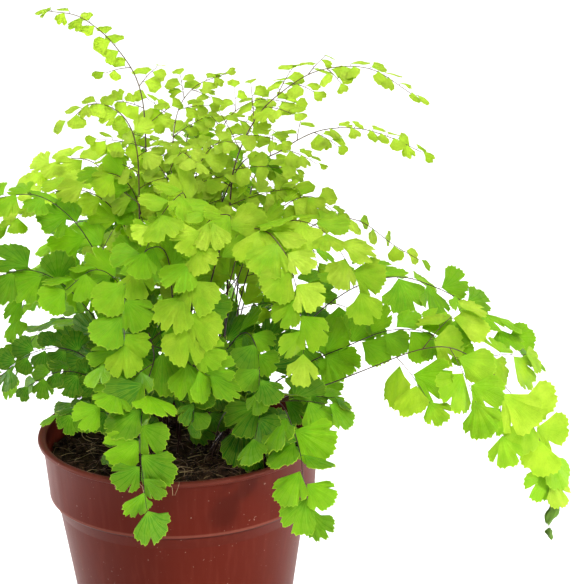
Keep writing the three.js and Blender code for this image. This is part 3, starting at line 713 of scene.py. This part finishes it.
class Finish:
    """A material and the nodes that make it."""

    def __init__(self, name):
        self.material = bpy.data.materials.new(name)
        self.material.use_nodes = True
        self.tree = self.material.node_tree
        self.tree.nodes.clear()

    def node(self, kind, settings=None, sockets=None):
        """Adds a node: its settings are set first, and then its sockets are given values or links."""
        node = self.tree.nodes.new(kind)
        for key, value in (settings or {}).items():
            setattr(node, key, value)
        for key, value in (sockets or {}).items():
            if isinstance(value, Value):
                self.tree.links.new(value.socket, node.inputs[key])
            else:
                node.inputs[key].default_value = value
        return node

    def read(self, kind, output, settings=None, sockets=None):
        return Value(self, self.node(kind, settings, sockets).outputs[output])

    def object_place(self):
        return self.read("ShaderNodeTexCoord", "Object")

    def split(self, vector):
        """The three numbers of a vector."""
        node = self.node("ShaderNodeSeparateXYZ", None, {"Vector": vector})
        return [Value(self, output) for output in node.outputs]

    def attribute(self, name):
        return self.read("ShaderNodeAttribute", "Fac", {"attribute_name": name})

    def noise(self, place, scale, detail):
        sockets = {"Vector": place, "Scale": scale, "Detail": detail}
        return self.read("ShaderNodeTexNoise", "Fac", None, sockets)

    def mix(self, share, first, second):
        """A colour between two others."""
        node = self.node("ShaderNodeMix", {"data_type": "RGBA"}, {0: share, 6: first, 7: second})
        return Value(self, node.outputs[2])

    def layered(self, base, layers):
        """A colour with others laid over it in turn, each by its share."""
        for share, colour in layers:
            base = self.mix(share, base, colour)
        return base

    def bump(self, height, distance, strength):
        sockets = {"Height": height, "Distance": distance, "Strength": strength}
        return self.read("ShaderNodeBump", "Normal", None, sockets)

    def surface(self, colour, roughness, normal=None, gloss=0.5):
        sockets = {"Base Color": colour, "Roughness": roughness, "Specular IOR Level": gloss}
        if normal:
            sockets["Normal"] = normal
        return self.read("ShaderNodeBsdfPrincipled", "BSDF", None, sockets)

    def glow(self, colour):
        """Light that comes through from behind."""
        return self.read("ShaderNodeBsdfTranslucent", "BSDF", None, {"Color": colour})

    def blend(self, share, first, second):
        """A shader between two others."""
        return self.read("ShaderNodeMixShader", "Shader", None, {0: share, 1: first, 2: second})

    def done(self, shader):
        self.node("ShaderNodeOutputMaterial", None, {"Surface": shader})
        return self.material


def rgb(red, green, blue):
    return (red, green, blue, 1.0)


def band(value, start, full, fading, end):
    """Rises from 0 at start to 1 at full, and falls from 1 at fading to 0 at the end."""
    return value.between(start, full) * (1 - value.between(fading, end))


def vein_lines(across, outward, count, start):
    """Fine lines that fan out from a leaflet's stalk, from a share of its length on."""
    span = 2.0
    from_line = ((across * count).fraction() - 0.5).absolute()
    distance = from_line * outward * (span / count)
    line = 1 - distance.between(0.004, 0.012)
    return line * outward.between(start, start + 0.08)


def leaf_finish():
    """Thin satin leaf, yellow-green when young and dark green when old, that lets light through; its
    colour also carries painted light, paler high up, and painted shade, darker low inside the plant.
    """
    finish = Finish("maidenhair_leaf")
    across, outward, _ = finish.split(finish.read("ShaderNodeUVMap", "UV", {"uv_map": "UVMap"}))
    # The age read here carries painted light and shade: paler high up, darker low inside the plant
    age = finish.attribute("age")
    tone = finish.attribute("tone")
    withered = finish.attribute("withered")
    place = finish.object_place()
    patches = finish.noise(place, 160, 3)
    grain = finish.noise(place, 1400, 2)
    near_stalk = 1 - outward.between(0.0, 0.5)
    margin = outward.between(0.955, 1.0)
    veins = vein_lines(across, outward, *VEINS[0])
    for count, start in VEINS[1:]:
        veins = veins.most(vein_lines(across, outward, count, start))

    # Age with its painted light and shade, plus the leaflet's own tone and random patches: how dark green
    # the leaf is, and how much light comes through
    darkness_with_painted_light = (age + (tone - 0.5) * 0.34 + (patches - 0.5) * 0.3).most(0).least(1)
    yellow_green = rgb(0.76, 0.93, 0.1)
    base = finish.layered(yellow_green, [
        (darkness_with_painted_light.between(0.0, 0.2), rgb(0.56, 0.72, 0.045)),
        (darkness_with_painted_light.between(0.08, 0.46), rgb(0.25, 0.56, 0.008)),
        (darkness_with_painted_light.between(0.4, 0.9), rgb(0.018, 0.13, 0.002)),
        (near_stalk * 0.4, rgb(0.12, 0.4, 0.01)),
        (patches.between(0.35, 0.7) * 0.24, rgb(0.06, 0.3, 0.004)),
        (veins * 0.26, rgb(0.6, 0.8, 0.05)),
        (margin * 0.5, rgb(0.66, 0.82, 0.06)),
        (grain.between(0.45, 0.7) * 0.2, rgb(0.1, 0.3, 0.01)),
        (withered, finish.mix(patches, rgb(0.14, 0.28, 0.03), rgb(0.05, 0.1, 0.012))),
    ])
    relief = finish.bump(veins * -0.3 + patches * 1.6 + grain * 0.3, 0.0006, 0.9)
    front = finish.surface(base, 0.38 + patches * 0.2, relief, 0.13)
    young_glow = finish.glow(rgb(0.57, 0.76, 0.035))
    old_glow = finish.glow(rgb(0.08, 0.36, 0.005))
    through = (1 - withered) * (0.57 - darkness_with_painted_light * 0.32)
    return finish.done(finish.blend(through, front, finish.blend(darkness_with_painted_light, young_glow, old_glow)))


def stem_finish():
    """Wiry, glossy, purplish-black stem, that turns brown and green towards the tips."""
    finish = Finish("wiry_stem")
    youth = finish.attribute("youth")
    streaks = finish.noise(finish.object_place(), 900, 3)
    dark = finish.mix(streaks, rgb(0.012, 0.005, 0.006), rgb(0.045, 0.016, 0.012))
    tip = finish.mix(streaks, rgb(0.06, 0.026, 0.01), rgb(0.13, 0.09, 0.02))
    base = finish.mix(youth.between(0.3, 1.0), dark, tip)
    relief = finish.bump(streaks, 0.00008, 0.6)
    return finish.done(finish.surface(base, 0.22 + streaks * 0.18, relief, 0.25))


def pot_finish():
    """Reddish-brown moulded plastic with a satin skin, fine streaks and dust, a painted highlight along
    the collar's bottom edge, painted shade just under it, and a browner, lighter top to the lip.
    """
    finish = Finish("pot_plastic")
    place = finish.object_place()
    height = finish.split(place)[2]
    clouds = finish.noise(place, 14, 4)
    stretched = finish.read("ShaderNodeMapping", "Vector", None, {"Vector": place, "Scale": (1, 1, 0.05)})
    streaks = finish.noise(stretched, 420, 3)
    skin = finish.noise(place, 2600, 2)
    specks = finish.noise(place, 760, 1).between(0.74, 0.8)
    # Painted shade: a thin dark line just under the collar's bottom edge, where its shadow falls
    under_collar_shade = band(height, *[(COLLAR_BOTTOM + step) * MM for step in (-1.8, -1.3, -0.9, -0.4)])
    # A painted highlight: a thin lighter line along the collar's bottom edge
    collar_edge_highlight = band(height, *[(COLLAR_BOTTOM + step) * MM for step in (-0.9, -0.3, 0.3, 1.0)])
    lip = height.between((POT_HEIGHT - 2.2) * MM, (POT_HEIGHT - 1.2) * MM)
    plastic = finish.mix(clouds, rgb(0.056, 0.0054, 0.002), rgb(0.082, 0.009, 0.0036))
    base = finish.layered(plastic, [
        (streaks.between(0.45, 0.75) * 0.2, rgb(0.12, 0.024, 0.015)),
        (under_collar_shade * 0.6, rgb(0.02, 0.003, 0.002)),
        (collar_edge_highlight * 0.14, rgb(0.42, 0.17, 0.12)),
        (specks * 0.25 + clouds.between(0.55, 0.8) * 0.015, rgb(0.5, 0.36, 0.28)),
        (lip * 0.3, rgb(0.12, 0.04, 0.028)),
    ])
    roughness = 0.34 + clouds * 0.1 + streaks * 0.08 + specks * 0.2
    relief = finish.bump(skin * 0.5 + streaks * 0.6, 0.00006, 0.7)
    return finish.done(finish.surface(base, roughness, relief, 0.05))


def soil_finish(name, flecks):
    """Damp, dark brown potting mix: peat with paler flecks of fibre."""
    finish = Finish(name)
    place = finish.object_place()
    lumps = finish.noise(place, 230, 4)
    grains = finish.noise(place, 1500, 3)
    base = finish.layered(rgb(0.006, 0.0035, 0.002), [
        (lumps.between(0.35, 0.7), rgb(0.05, 0.026, 0.013)),
        (grains.between(0.56, 0.8) * flecks, rgb(0.2, 0.12, 0.055)),
    ])
    relief = finish.bump(lumps * 2 + grains, 0.0009, 0.9)
    return finish.done(finish.surface(base, 0.78 + grains * 0.2, relief, 0.1))


def fibre_finish():
    """Dry coir fibre, from brown to straw."""
    finish = Finish("coir_fibre")
    streaks = finish.noise(finish.object_place(), 1200, 2)
    brown = finish.mix(streaks, rgb(0.06, 0.03, 0.014), rgb(0.14, 0.075, 0.03))
    base = finish.mix(finish.attribute("pale"), brown, rgb(0.46, 0.33, 0.16))
    return finish.done(finish.surface(base, 0.6 + streaks * 0.25, finish.bump(streaks, 0.0001, 0.6)))


def floor_finish():
    finish = Finish("pale_floor")
    clouds = finish.noise(finish.object_place(), 3, 2)
    base = finish.mix(clouds, rgb(0.93, 0.93, 0.93), rgb(0.95, 0.95, 0.95))
    return finish.done(finish.surface(base, 0.85 + clouds * 0.1))


# Leaflets

def margin_reach(across, lobes, clefts, lean):
    """How far a leaflet's margin reaches at a share of its width: round lobes with clefts between."""
    place = across * lobes
    border = round(place)
    in_lobe = 2 * (place - math.floor(place)) - 1
    reach = 1 - MARGIN_ROUNDING * abs(2 * across - 1) ** 2.3
    reach = reach + lean * (across - 0.5) - LOBE_ROUNDING * in_lobe ** 4
    if 0 < border < lobes:
        reach -= clefts[border] * max(0.0, 1 - abs(place - border) / CLEFT_WIDTH)
    return reach


def blade_template(name, spokes, lobes, deepest, spread, seed):
    """A fan-shaped leaflet of unit length along +X, its face to +Z, as a thin closed blade."""
    deselect_all()
    bpy.ops.mesh.primitive_grid_add(x_subdivisions=spokes, y_subdivisions=2, size=1, calc_uvs=True)
    blade = bpy.context.object
    blade.name = name
    fold = sway(0.36, seed, 1)
    lean = sway(0.3, seed, 2)
    skew = math.radians(sway(22, seed, 3))
    fall = LEAFLET_FALL * (chance(seed, 4) - 0.3)
    clefts = [0.02 + deepest * chance(seed, 40 + i) ** 3 for i in range(lobes)]
    for vertex in blade.data.vertices:
        across = vertex.co.x + 0.5
        outward = vertex.co.y + 0.5
        if abs(outward - 0.5) < 0.01:
            outward = INNER_RING
        tooth = TOOTH * (-1) ** round(across * spokes) * smooth(0.9, 1.0, outward)
        angle = (0.5 - across) * spread * (0.84 + 0.16 * outward) + skew * outward
        reach = outward * (margin_reach(across, lobes, clefts, lean) + tooth)
        forward = reach * math.cos(angle)
        sideways = reach * math.sin(angle)
        wave = LEAFLET_WAVE * outward * math.sin(lobes * 2 * math.pi * across + seed)
        sag = LEAFLET_CUP * sideways * sideways + fall * outward ** 3
        vertex.co = (STALK_SHARE + forward, sideways, wave - sag + fold * abs(sideways) * outward)
    edit(blade)
    bpy.ops.mesh.select_all(action="SELECT")
    bpy.ops.mesh.remove_doubles(threshold=1e-4)
    leave_edit()
    thicken(blade, BLADE_SHARE)
    smooth_faces(blade, 60)
    return blade


def blade_templates():
    """Leaflets of several forms: large ones of three to five lobes, and small ones of two or three."""
    large = []
    for i in range(LARGE_FORMS):
        spread = math.radians(98 + 38 * chance(i, 60))
        large.append(blade_template(f"large_leaflet_{i}", 27 + i % 3, 3 + i % 3, 0.4, spread, i + 1))
    small = []
    for i in range(SMALL_FORMS):
        spread = math.radians(84 + 30 * chance(i, 61))
        small.append(blade_template(f"small_leaflet_{i}", 12, 2 + i % 2, 0.22, spread, i + 21))
    return large, small


def mark_leaf(blade, age, tone, withered):
    """Keeps the numbers that the leaf's finish reads."""
    mark_all(blade, "age", age)
    mark_all(blade, "tone", tone)
    mark_all(blade, "withered", withered)


def age_with_painted_light(age, place):
    """Leaflets' age with painted light and shade: high ones are painted paler where the light falls, and
    those low inside the plant are painted darkest as shade.
    """
    high = smooth(*PALE_HEIGHTS, place.z)
    inside = smooth(*SHADED_REACH, place.xy.length) * smooth(*SHADED_HEIGHTS, place.z)
    return min(1.0, max(0.0, age - PAINTED_LIGHT_ABOVE * high + PAINTED_SHADE_INSIDE * inside))


def settled_axes(leaflet):
    """A leaflet's own directions: a high one lies flatter, and one at the edge is turned inwards."""
    level = FLAT_ABOVE * smooth(*FLAT_HEIGHTS, leaflet["base"].z)
    normal = (leaflet["normal"] + UP * level).normalized()
    direction = leaflet["direction"] - normal * leaflet["direction"].dot(normal)
    direction.normalize()
    foot = leaflet["base"]
    tip = foot + direction * leaflet["size"]
    low, high = (Vector(corner) / MM for corner in cad_box)
    held = Vector([min(high[i] - OUTER_MARGIN, max(low[i] + OUTER_MARGIN, tip[i])) for i in range(3)])
    if (held - tip).length > 0.1 and (held - foot).length > 0.3 * leaflet["size"]:
        direction = (held - foot).normalized()
        normal = (normal - direction * normal.dot(direction)).normalized()
    return direction, direction.cross(normal), normal


def grown_leaflet(leaflet, large, small, age):
    """A copy of a leaflet form at its place on the plant, with a bend and a colour of its own."""
    seed = leaflet["own"] * 50
    forms = large if leaflet["size"] > LARGE_LEAFLET else small
    blade = copy_of(forms[int(leaflet["own"] * 997) % len(forms)])
    curl = 0.5 * (chance(seed, 3) - 0.35)
    twist = sway(0.6, seed, 4)
    mirrored = chance(seed, 6) <= 0.5
    for vertex in blade.data.vertices:
        x, y, z = vertex.co
        vertex.co.z = z - curl * x * x * 0.5 + twist * x * y * 0.5
    direction, side, normal = settled_axes(leaflet)
    foot = (leaflet["base"] + normal * BLADE_LIFT) * MM
    size = leaflet["size"] * MM
    axes = Matrix((direction, side, normal)).transposed() * size
    if mirrored:
        blade.data.transform(Matrix.Scale(-1, 4, (0, 1, 0)))
        blade.data.flip_normals()
    blade.data.transform(Matrix.Translation(foot) @ axes.to_4x4())
    # The age kept on the leaflet carries painted light and shade: paler high up, darker low inside the
    # plant
    mark_leaf(blade, age_with_painted_light(age, leaflet["base"]), chance(seed, 5), 0.0)
    return blade


# Stems

def wire(name, strands, material):
    """Thin round strands as one piece. Each is its points in millimetres, with a radius at each."""
    curve = bpy.data.curves.new(name, "CURVE")
    curve.dimensions = "3D"
    curve.bevel_depth = MM
    curve.bevel_resolution = 1
    curve.use_fill_caps = True
    for points, radii in strands:
        spline = curve.splines.new("POLY")
        spline.points.add(len(points) - 1)
        for i, (point, radius) in enumerate(zip(points, radii)):
            spline.points[i].co = (point.x * MM, point.y * MM, point.z * MM, 1)
            spline.points[i].radius = radius
    piece = bpy.data.objects.new(name, curve)
    bpy.context.collection.objects.link(piece)
    pick_only(piece)
    bpy.ops.object.convert(target="MESH")
    piece = bpy.context.object
    edit(piece)
    bpy.ops.mesh.select_all(action="SELECT")
    bpy.ops.mesh.remove_doubles(threshold=1e-7)
    bpy.ops.mesh.normals_make_consistent(inside=False)
    leave_edit()
    smooth_faces(piece, 60)
    cover(piece, material)
    return piece


def tapered(points, thick, thin):
    """A radius for each point, from thick at the first to thin at the last."""
    last = len(points) - 1
    return [thick + (thin - thick) * (i / last) ** 0.65 for i in range(len(points))]


def strand(line, thick, thin):
    return line.points, tapered(line.points, thick, thin)


def stalk_points(leaflet):
    """The hair-thin stalk of a leaflet, a little sunk into the blade."""
    direction, _, normal = settled_axes(leaflet)
    foot = leaflet["base"]
    lift = normal * BLADE_LIFT
    middle = foot + direction * (STALK_SHARE * leaflet["size"]) + lift
    head = foot + direction * (2 * STALK_SHARE * leaflet["size"]) + lift
    return [foot, middle, head]


def frond_stem(plan, material):
    """A frond's stem with its side sprigs and the stalks of its leaflets."""
    height = max(point.z for point in plan["line"].points)
    thick = STEM_RADIUS + TALL_STEM_EXTRA * smooth(*TALL_STEMS, height)
    stem = wire("stem", [strand(plan["line"], thick, STEM_TIP_RADIUS)], material)
    heights = [vertex.co.z / MM for vertex in stem.data.vertices]
    mark(stem, "youth", [(1 - plan["age"]) * smooth(SOIL_HEIGHT, height, z) for z in heights])
    thin = [strand(twig, *TWIG_RADII) for twig in plan["sprigs"]]
    thin += [(stalk_points(leaflet), STALK_RADII) for leaflet in plan["leaflets"]]
    twigs = wire("twigs", thin, material)
    mark_all(twigs, "youth", 0.35 + 0.5 * (1 - plan["age"]))
    return [stem, twigs]


def withered_leaf(top, length, width, seed):
    """A dried leaflet that has rolled up on itself and hangs."""
    deselect_all()
    bpy.ops.mesh.primitive_grid_add(x_subdivisions=12, y_subdivisions=9, size=1, calc_uvs=True)
    leaf = bpy.context.object
    roll = 5.4
    for vertex in leaf.data.vertices:
        turn = vertex.co.x * roll
        down = 0.5 - vertex.co.y
        swell = math.sin(math.pi * min(1, 0.12 + 0.86 * down)) ** 0.6
        crumple = 1 + 0.3 * math.sin(3 * turn + 5 * down + seed) + 0.2 * math.sin(11 * down + seed)
        reach = 0.5 * width * swell * crumple * (1 + 0.4 * vertex.co.x)
        drift = 0.12 * length * math.sin(3.1 * down + seed)
        fall = down * length + 0.06 * length * math.sin(2 * turn + seed)
        vertex.co = (reach * math.cos(turn) + drift, reach * math.sin(turn), -fall)
    thicken(leaf, 0.2)
    smooth_faces(leaf, 70)
    leaf.data.transform(Matrix.Scale(MM, 4) @ Matrix.Translation(top))
    mark_leaf(leaf, 0.9, 0.5, 1.0)
    return leaf


def withered_tip(plan):
    """The end of the main arch has dried: a rolled leaflet, and a scrap that hangs under it."""
    end = plan["line"].points[-1]
    scrap = end - UP * 11
    return [withered_leaf(end + UP * 2.5, 12, 4.6, 1), withered_leaf(scrap, 5, 2.2, 4)]


def grow_frond(plan, large, small, leaf, stem):
    """One frond as one piece: its stem, sprigs and stalks, and every leaflet."""
    blades = [grown_leaflet(leaflet, large, small, plan["age"]) for leaflet in plan["leaflets"]]
    if plan["name"] == "arch_main":
        remove([blades.pop() for _ in range(WITHERED_LEAFLETS)])
        blades += withered_tip(plan)
    for blade in blades:
        cover(blade, leaf)
    frond = joined(f"fern_{plan['name']}", blades + frond_stem(plan, stem))
    solid = f"frond_{plan['name']}"
    return finish_piece(frond, None, SLOTS[solid], solid)


def make_sprouts(large, small, leaf, stem):
    """Young sprouts that have only just come up: thin stems with a few tiny leaflets."""
    pieces = []
    for i, (root, tip) in enumerate(SPROUTS):
        middle = (
            0.6 * root[0] + 0.4 * tip[0],
            0.7 * root[1] + 0.3 * tip[1],
            0.35 * SOIL_HEIGHT + 0.65 * tip[2],
        )
        line = stem_line([root, middle, tip])
        light = light_from(level_to(-90), i + 70)
        leaflets = leaflets_on(line, 0.8 * line.length, light, SPROUT_LEAFLET, 0.2, i + 70, 0.9)
        for leaflet in leaflets:
            blade = grown_leaflet(leaflet, large, small, 0.2)
            cover(blade, leaf)
            pieces.append(blade)
        strands = [strand(line, 0.24, 0.1)]
        strands += [(stalk_points(leaflet), [0.09, 0.08, 0.06]) for leaflet in leaflets]
        wires = wire("sprout_stem", strands, stem)
        mark_all(wires, "youth", 0.3)
        pieces.append(wires)
    return finish_piece(joined("young_sprouts", pieces), None, "leaf_young")


# The pot

def pot_profile():
    """The pot's outline, from its base up the outside, over the lip and down the inside."""
    lip_bottom = POT_HEIGHT - LIP_HEIGHT
    inner_top = COLLAR_TOP_RADIUS - WALL
    corners = [
        (BASE_RADIUS, 0, [(-1.9, 0), (-0.8, 0.15), (-0.15, 0.8), (0.1, 2.0)]),
        (BODY_TOP_RADIUS, SHOULDER_BOTTOM, [(-0.1, -0.6), (0.15, 0), (0.6, 0.7)]),
        (COLLAR_BOTTOM_RADIUS, COLLAR_BOTTOM, [(-1.1, -1.6), (-0.4, -0.7), (0, -0.45)]),
        (COLLAR_BOTTOM_RADIUS, COLLAR_BOTTOM, [(0.15, -0.1), (0.1, 0.5)]),
        (COLLAR_TOP_RADIUS, lip_bottom, [(-0.05, -0.6), (0.35, -0.1)]),
        (LIP_RADIUS, lip_bottom, [(-0.7, 0.15), (-0.2, 0.55), (0, 1.2)]),
        (LIP_RADIUS, POT_HEIGHT, [(-0.2, -0.5), (-0.75, -0.1), (-1.4, 0)]),
        (inner_top, POT_HEIGHT, [(0.9, -0.25), (0.2, -0.9), (0, -2.4)]),
        (COLLAR_BOTTOM_RADIUS - WALL, COLLAR_BOTTOM, [(0, 0)]),
        (BODY_TOP_RADIUS - WALL, SHOULDER_BOTTOM, [(0, 0)]),
        (BASE_RADIUS - WALL, WALL, [(0, 1.2), (-1.2, 0)]),
        (0, WALL, [(0, 0)]),
    ]
    return [(radius + out, height + up) for radius, height, steps in corners for out, up in steps]


def drill_base(pot):
    """Round drain holes through the pot's base."""
    drills = []
    for i in range(DRAIN_HOLES):
        x, y = around(DRAIN_RING_RADIUS, 2 * math.pi * i / DRAIN_HOLES)
        deselect_all()
        bpy.ops.mesh.primitive_cylinder_add(
            vertices=24, radius=DRAIN_HOLE_RADIUS * MM, depth=0.02, location=(x * MM, y * MM, 0)
        )
        drills.append(bpy.context.object)
    drill = joined("drill", drills)
    cut = pot.modifiers.new("drain_holes", "BOOLEAN")
    cut.operation = "DIFFERENCE"
    cut.object = drill
    cut.solver = "EXACT"
    apply_modifiers(pot)
    remove([drill])


def raise_mould_lines(pot):
    """Faint upright mould lines on the collar's left, one towards the front and one behind."""
    for vertex in pot.data.vertices:
        outside = vertex.co.xy.length > (COLLAR_BOTTOM_RADIUS - 1) * MM
        if outside and COLLAR_BOTTOM * MM < vertex.co.z < (POT_HEIGHT - LIP_HEIGHT) * MM:
            bearing = math.degrees(math.atan2(vertex.co.y, vertex.co.x))
            if abs(abs(bearing) - MOULD_LINE_BEARING) < 1.5:
                vertex.co.xy *= 1.004


def make_pot():
    pot = turned("nursery_pot", pot_profile(), POT_SIDES)
    raise_mould_lines(pot)
    drill_base(pot)
    smooth_faces(pot, 35)
    return finish_piece(pot, pot_finish(), "pot_plastic", "pot")


# The soil

def soil_top(x, y):
    """The soil's height at a place, all in millimetres."""
    share = min(1.0, math.hypot(x, y) / SOIL_EDGE)
    swell = SOIL_SWELL * (1 - share * share)
    rough = math.sin(0.31 * x + 1.3) * math.cos(0.27 * y) + 0.6 * math.sin(0.53 * x - 0.47 * y)
    return SOIL_HEIGHT - SOIL_SWELL + swell + 0.8 * rough * (1 - share ** 4)


def place_on_soil(reach, seed):
    """A repeatable place on the soil, at most so far from its middle."""
    return around(reach * math.sqrt(chance(seed, 2)), 2 * math.pi * chance(seed, 1))


def soil_profile():
    """The soil's outline, from under its edge up the pot's wall and in to its middle."""
    top = SOIL_HEIGHT - SOIL_SWELL
    profile = [
        (BASE_RADIUS - WALL - 1.2, WALL + SOIL_GAP),
        (BODY_TOP_RADIUS - WALL - SOIL_GAP, SHOULDER_BOTTOM),
        (COLLAR_BOTTOM_RADIUS - WALL - SOIL_GAP, COLLAR_BOTTOM),
    ]
    profile += [(SOIL_EDGE * (1 - i / SOIL_RINGS), top) for i in range(SOIL_RINGS)]
    return profile + [(0, top)]


def make_soil():
    """The plug of soil, its top raised in lumps."""
    soil = turned("potting_soil", soil_profile(), SOIL_SIDES)
    top = (SOIL_HEIGHT - SOIL_SWELL) * MM
    for vertex in soil.data.vertices:
        if vertex.co.z > top - 1e-6:
            x = vertex.co.x / MM
            y = vertex.co.y / MM
            lump = noise.noise(Vector((x * 0.3, y * 0.3, 1)))
            lump += 0.6 * noise.noise(Vector((x * 0.8, y * 0.8, 4)))
            vertex.co.z = (soil_top(x, y) + lump) * MM
    pick_only(soil)
    bpy.ops.object.shade_smooth()
    return finish_piece(soil, soil_finish("potting_mix", 0.5), "potting_soil", "soil")


def crumb_template(name, seed):
    """A rough crumb of peat, about one unit across."""
    deselect_all()
    bpy.ops.mesh.primitive_ico_sphere_add(subdivisions=1, radius=0.5)
    crumb = bpy.context.object
    crumb.name = name
    for i, vertex in enumerate(crumb.data.vertices):
        vertex.co *= 0.65 + 0.7 * chance(seed, i)
    return crumb


def make_crumbs():
    """Crumbs of peat and bark scattered over the soil."""
    templates = [crumb_template(f"crumb_{i}", i + 3) for i in range(CRUMB_FORMS)]
    crumbs = []
    for i in range(CRUMBS):
        x, y = place_on_soil(SOIL_EDGE - 0.8, i)
        size = 0.7 + 3.0 * chance(i, 3) ** 3
        width = size * (0.5 + 0.5 * chance(i, 7))
        height = size * (0.4 + 0.5 * chance(i, 8))
        crumb = copy_of(templates[i % CRUMB_FORMS])
        turn = Matrix.Rotation(6.283 * chance(i, 4), 4, (chance(i, 5), chance(i, 6), 1))
        shape = Matrix.Diagonal((size, width, height, 1))
        place = Matrix.Translation(Vector((x, y, soil_top(x, y) + 0.3 * size + 0.2)) * MM)
        crumb.data.transform(place @ turn @ shape @ Matrix.Scale(MM, 4))
        crumbs.append(crumb)
    remove(templates)
    return finish_piece(joined("soil_crumbs", crumbs), soil_finish("peat_crumb", 0.9), "potting_soil")


def fibre_points(seed):
    """A curled fibre that lies on the soil."""
    x, y = place_on_soil(SOIL_EDGE - 5, seed)
    heading = 2 * math.pi * chance(seed, 3)
    curl = sway(0.6, seed, 4)
    step = 0.8 + 1.2 * chance(seed, 5)
    points = []
    for i in range(FIBRE_POINTS):
        inside = min(1.0, (SOIL_EDGE - 1.5) / max(math.hypot(x, y), 1))
        x *= inside
        y *= inside
        arc = 1.5 * chance(seed, 6) * math.sin(math.pi * i / (FIBRE_POINTS - 1))
        lift = 0.9 + arc + 0.3 * math.sin(i + seed)
        points.append(Vector((x, y, soil_top(x, y) + lift)))
        heading += curl + sway(0.7, seed, 20 + i)
        x += step * math.cos(heading)
        y += step * math.sin(heading)
    return points


def lip_fibre_points(seed):
    """A fibre that has been washed over the lip and hangs down the pot's front."""
    bearing = math.radians(-96 + sway(40, seed, 1))
    aside = sway(0.03, seed, 2)
    end = -3.2 - 2 * chance(seed, 3)
    points = []
    for i, (out, up) in enumerate(LIP_FIBRE_ROUTE + [(0.3, end)]):
        turn = bearing + aside * i + 0.008 * math.sin(2.1 * i + seed)
        points.append(Vector((*around(LIP_RADIUS + out, turn), POT_HEIGHT + up)))
    return points


def make_fibres():
    """Coir fibres in the soil, most of them brown and some pale as straw."""
    material = fibre_finish()
    groups = []
    for pale, first, last in FIBRE_GROUPS:
        strands = []
        for i in range(first, last):
            thick = 0.1 + 0.16 * chance(i, 9)
            points = fibre_points(i + 500)
            strands.append((points, tapered(points, thick, 0.06)))
        if pale:
            over_lip = range(first, first + LIP_FIBRES)
            strands += [(lip_fibre_points(seed), LIP_FIBRE_RADII) for seed in over_lip]
        group = wire("fibres", strands, material)
        mark_all(group, "pale", pale)
        groups.append(group)
    return finish_piece(joined("coir_fibres", groups), None, "potting_soil")


# The studio

def make_camera():
    """The camera stands in front of the pot and looks down at it."""
    ahead = Vector((0, math.cos(CAMERA_PITCH), -math.sin(CAMERA_PITCH)))
    level = Vector((1, 0, 0))
    above = level.cross(ahead)
    right = level * math.cos(CAMERA_ROLL) + above * math.sin(CAMERA_ROLL)
    top = right.cross(ahead)
    camera = bpy.data.cameras.new("camera")
    camera.sensor_width = SENSOR_WIDTH
    camera.lens = SENSOR_WIDTH * FOCAL_PIXELS / PICTURE_PIXELS
    camera.clip_end = 20
    holder = bpy.data.objects.new("camera", camera)
    axes = Matrix((right, top, -ahead)).transposed().to_4x4()
    holder.matrix_world = Matrix.Translation(CAMERA_PLACE) @ axes
    bpy.context.collection.objects.link(holder)
    bpy.context.scene.camera = holder


def put_light(name, kind, power, place, target):
    """A light that shines from its place towards its target."""
    light = bpy.data.lights.new(name, kind)
    light.energy = power
    holder = bpy.data.objects.new(name, light)
    holder.location = place
    holder.rotation_euler = (Vector(target) - Vector(place)).to_track_quat("-Z", "Y").to_euler()
    bpy.context.collection.objects.link(holder)
    return light


def make_studio():
    """A pale floor, white surroundings and large soft lights."""
    deselect_all()
    bpy.ops.mesh.primitive_grid_add(x_subdivisions=8, y_subdivisions=8, size=12)
    floor = bpy.context.object
    floor.name = "floor"
    floor.data.materials.append(floor_finish())
    world = bpy.data.worlds.new("studio")
    world.use_nodes = True
    background = world.node_tree.nodes["Background"]
    background.inputs["Color"].default_value = rgb(1, 1, 1)
    background.inputs["Strength"].default_value = 0.46
    bpy.context.scene.world = world
    for name, place, target, width, power in SOFT_LIGHTS:
        light = put_light(name, "AREA", power, place, target)
        light.shape = "SQUARE"
        light.size = width
    spot = put_light("pot_side", "SPOT", 230, (0.8, -0.5, 0.15), (0.045, -0.015, 0.015))
    spot.spot_size = math.radians(9)
    spot.spot_blend = 1.0
    spot.shadow_soft_size = 0.12
    sun = put_light("overhead", "SUN", 3.0, (0.15, 0.2, 1), (0, 0, 0))
    sun.angle = math.radians(35)
    bpy.context.scene.view_settings.view_transform = "Standard"


def main():
    make_camera()
    make_studio()
    make_pot()
    make_soil()
    make_crumbs()
    make_fibres()
    leaf = leaf_finish()
    stem = stem_finish()
    large, small = blade_templates()
    for plan in all_fronds():
        grow_frond(plan, large, small, leaf, stem)
    make_sprouts(large, small, leaf, stem)
    remove(large + small)


main()
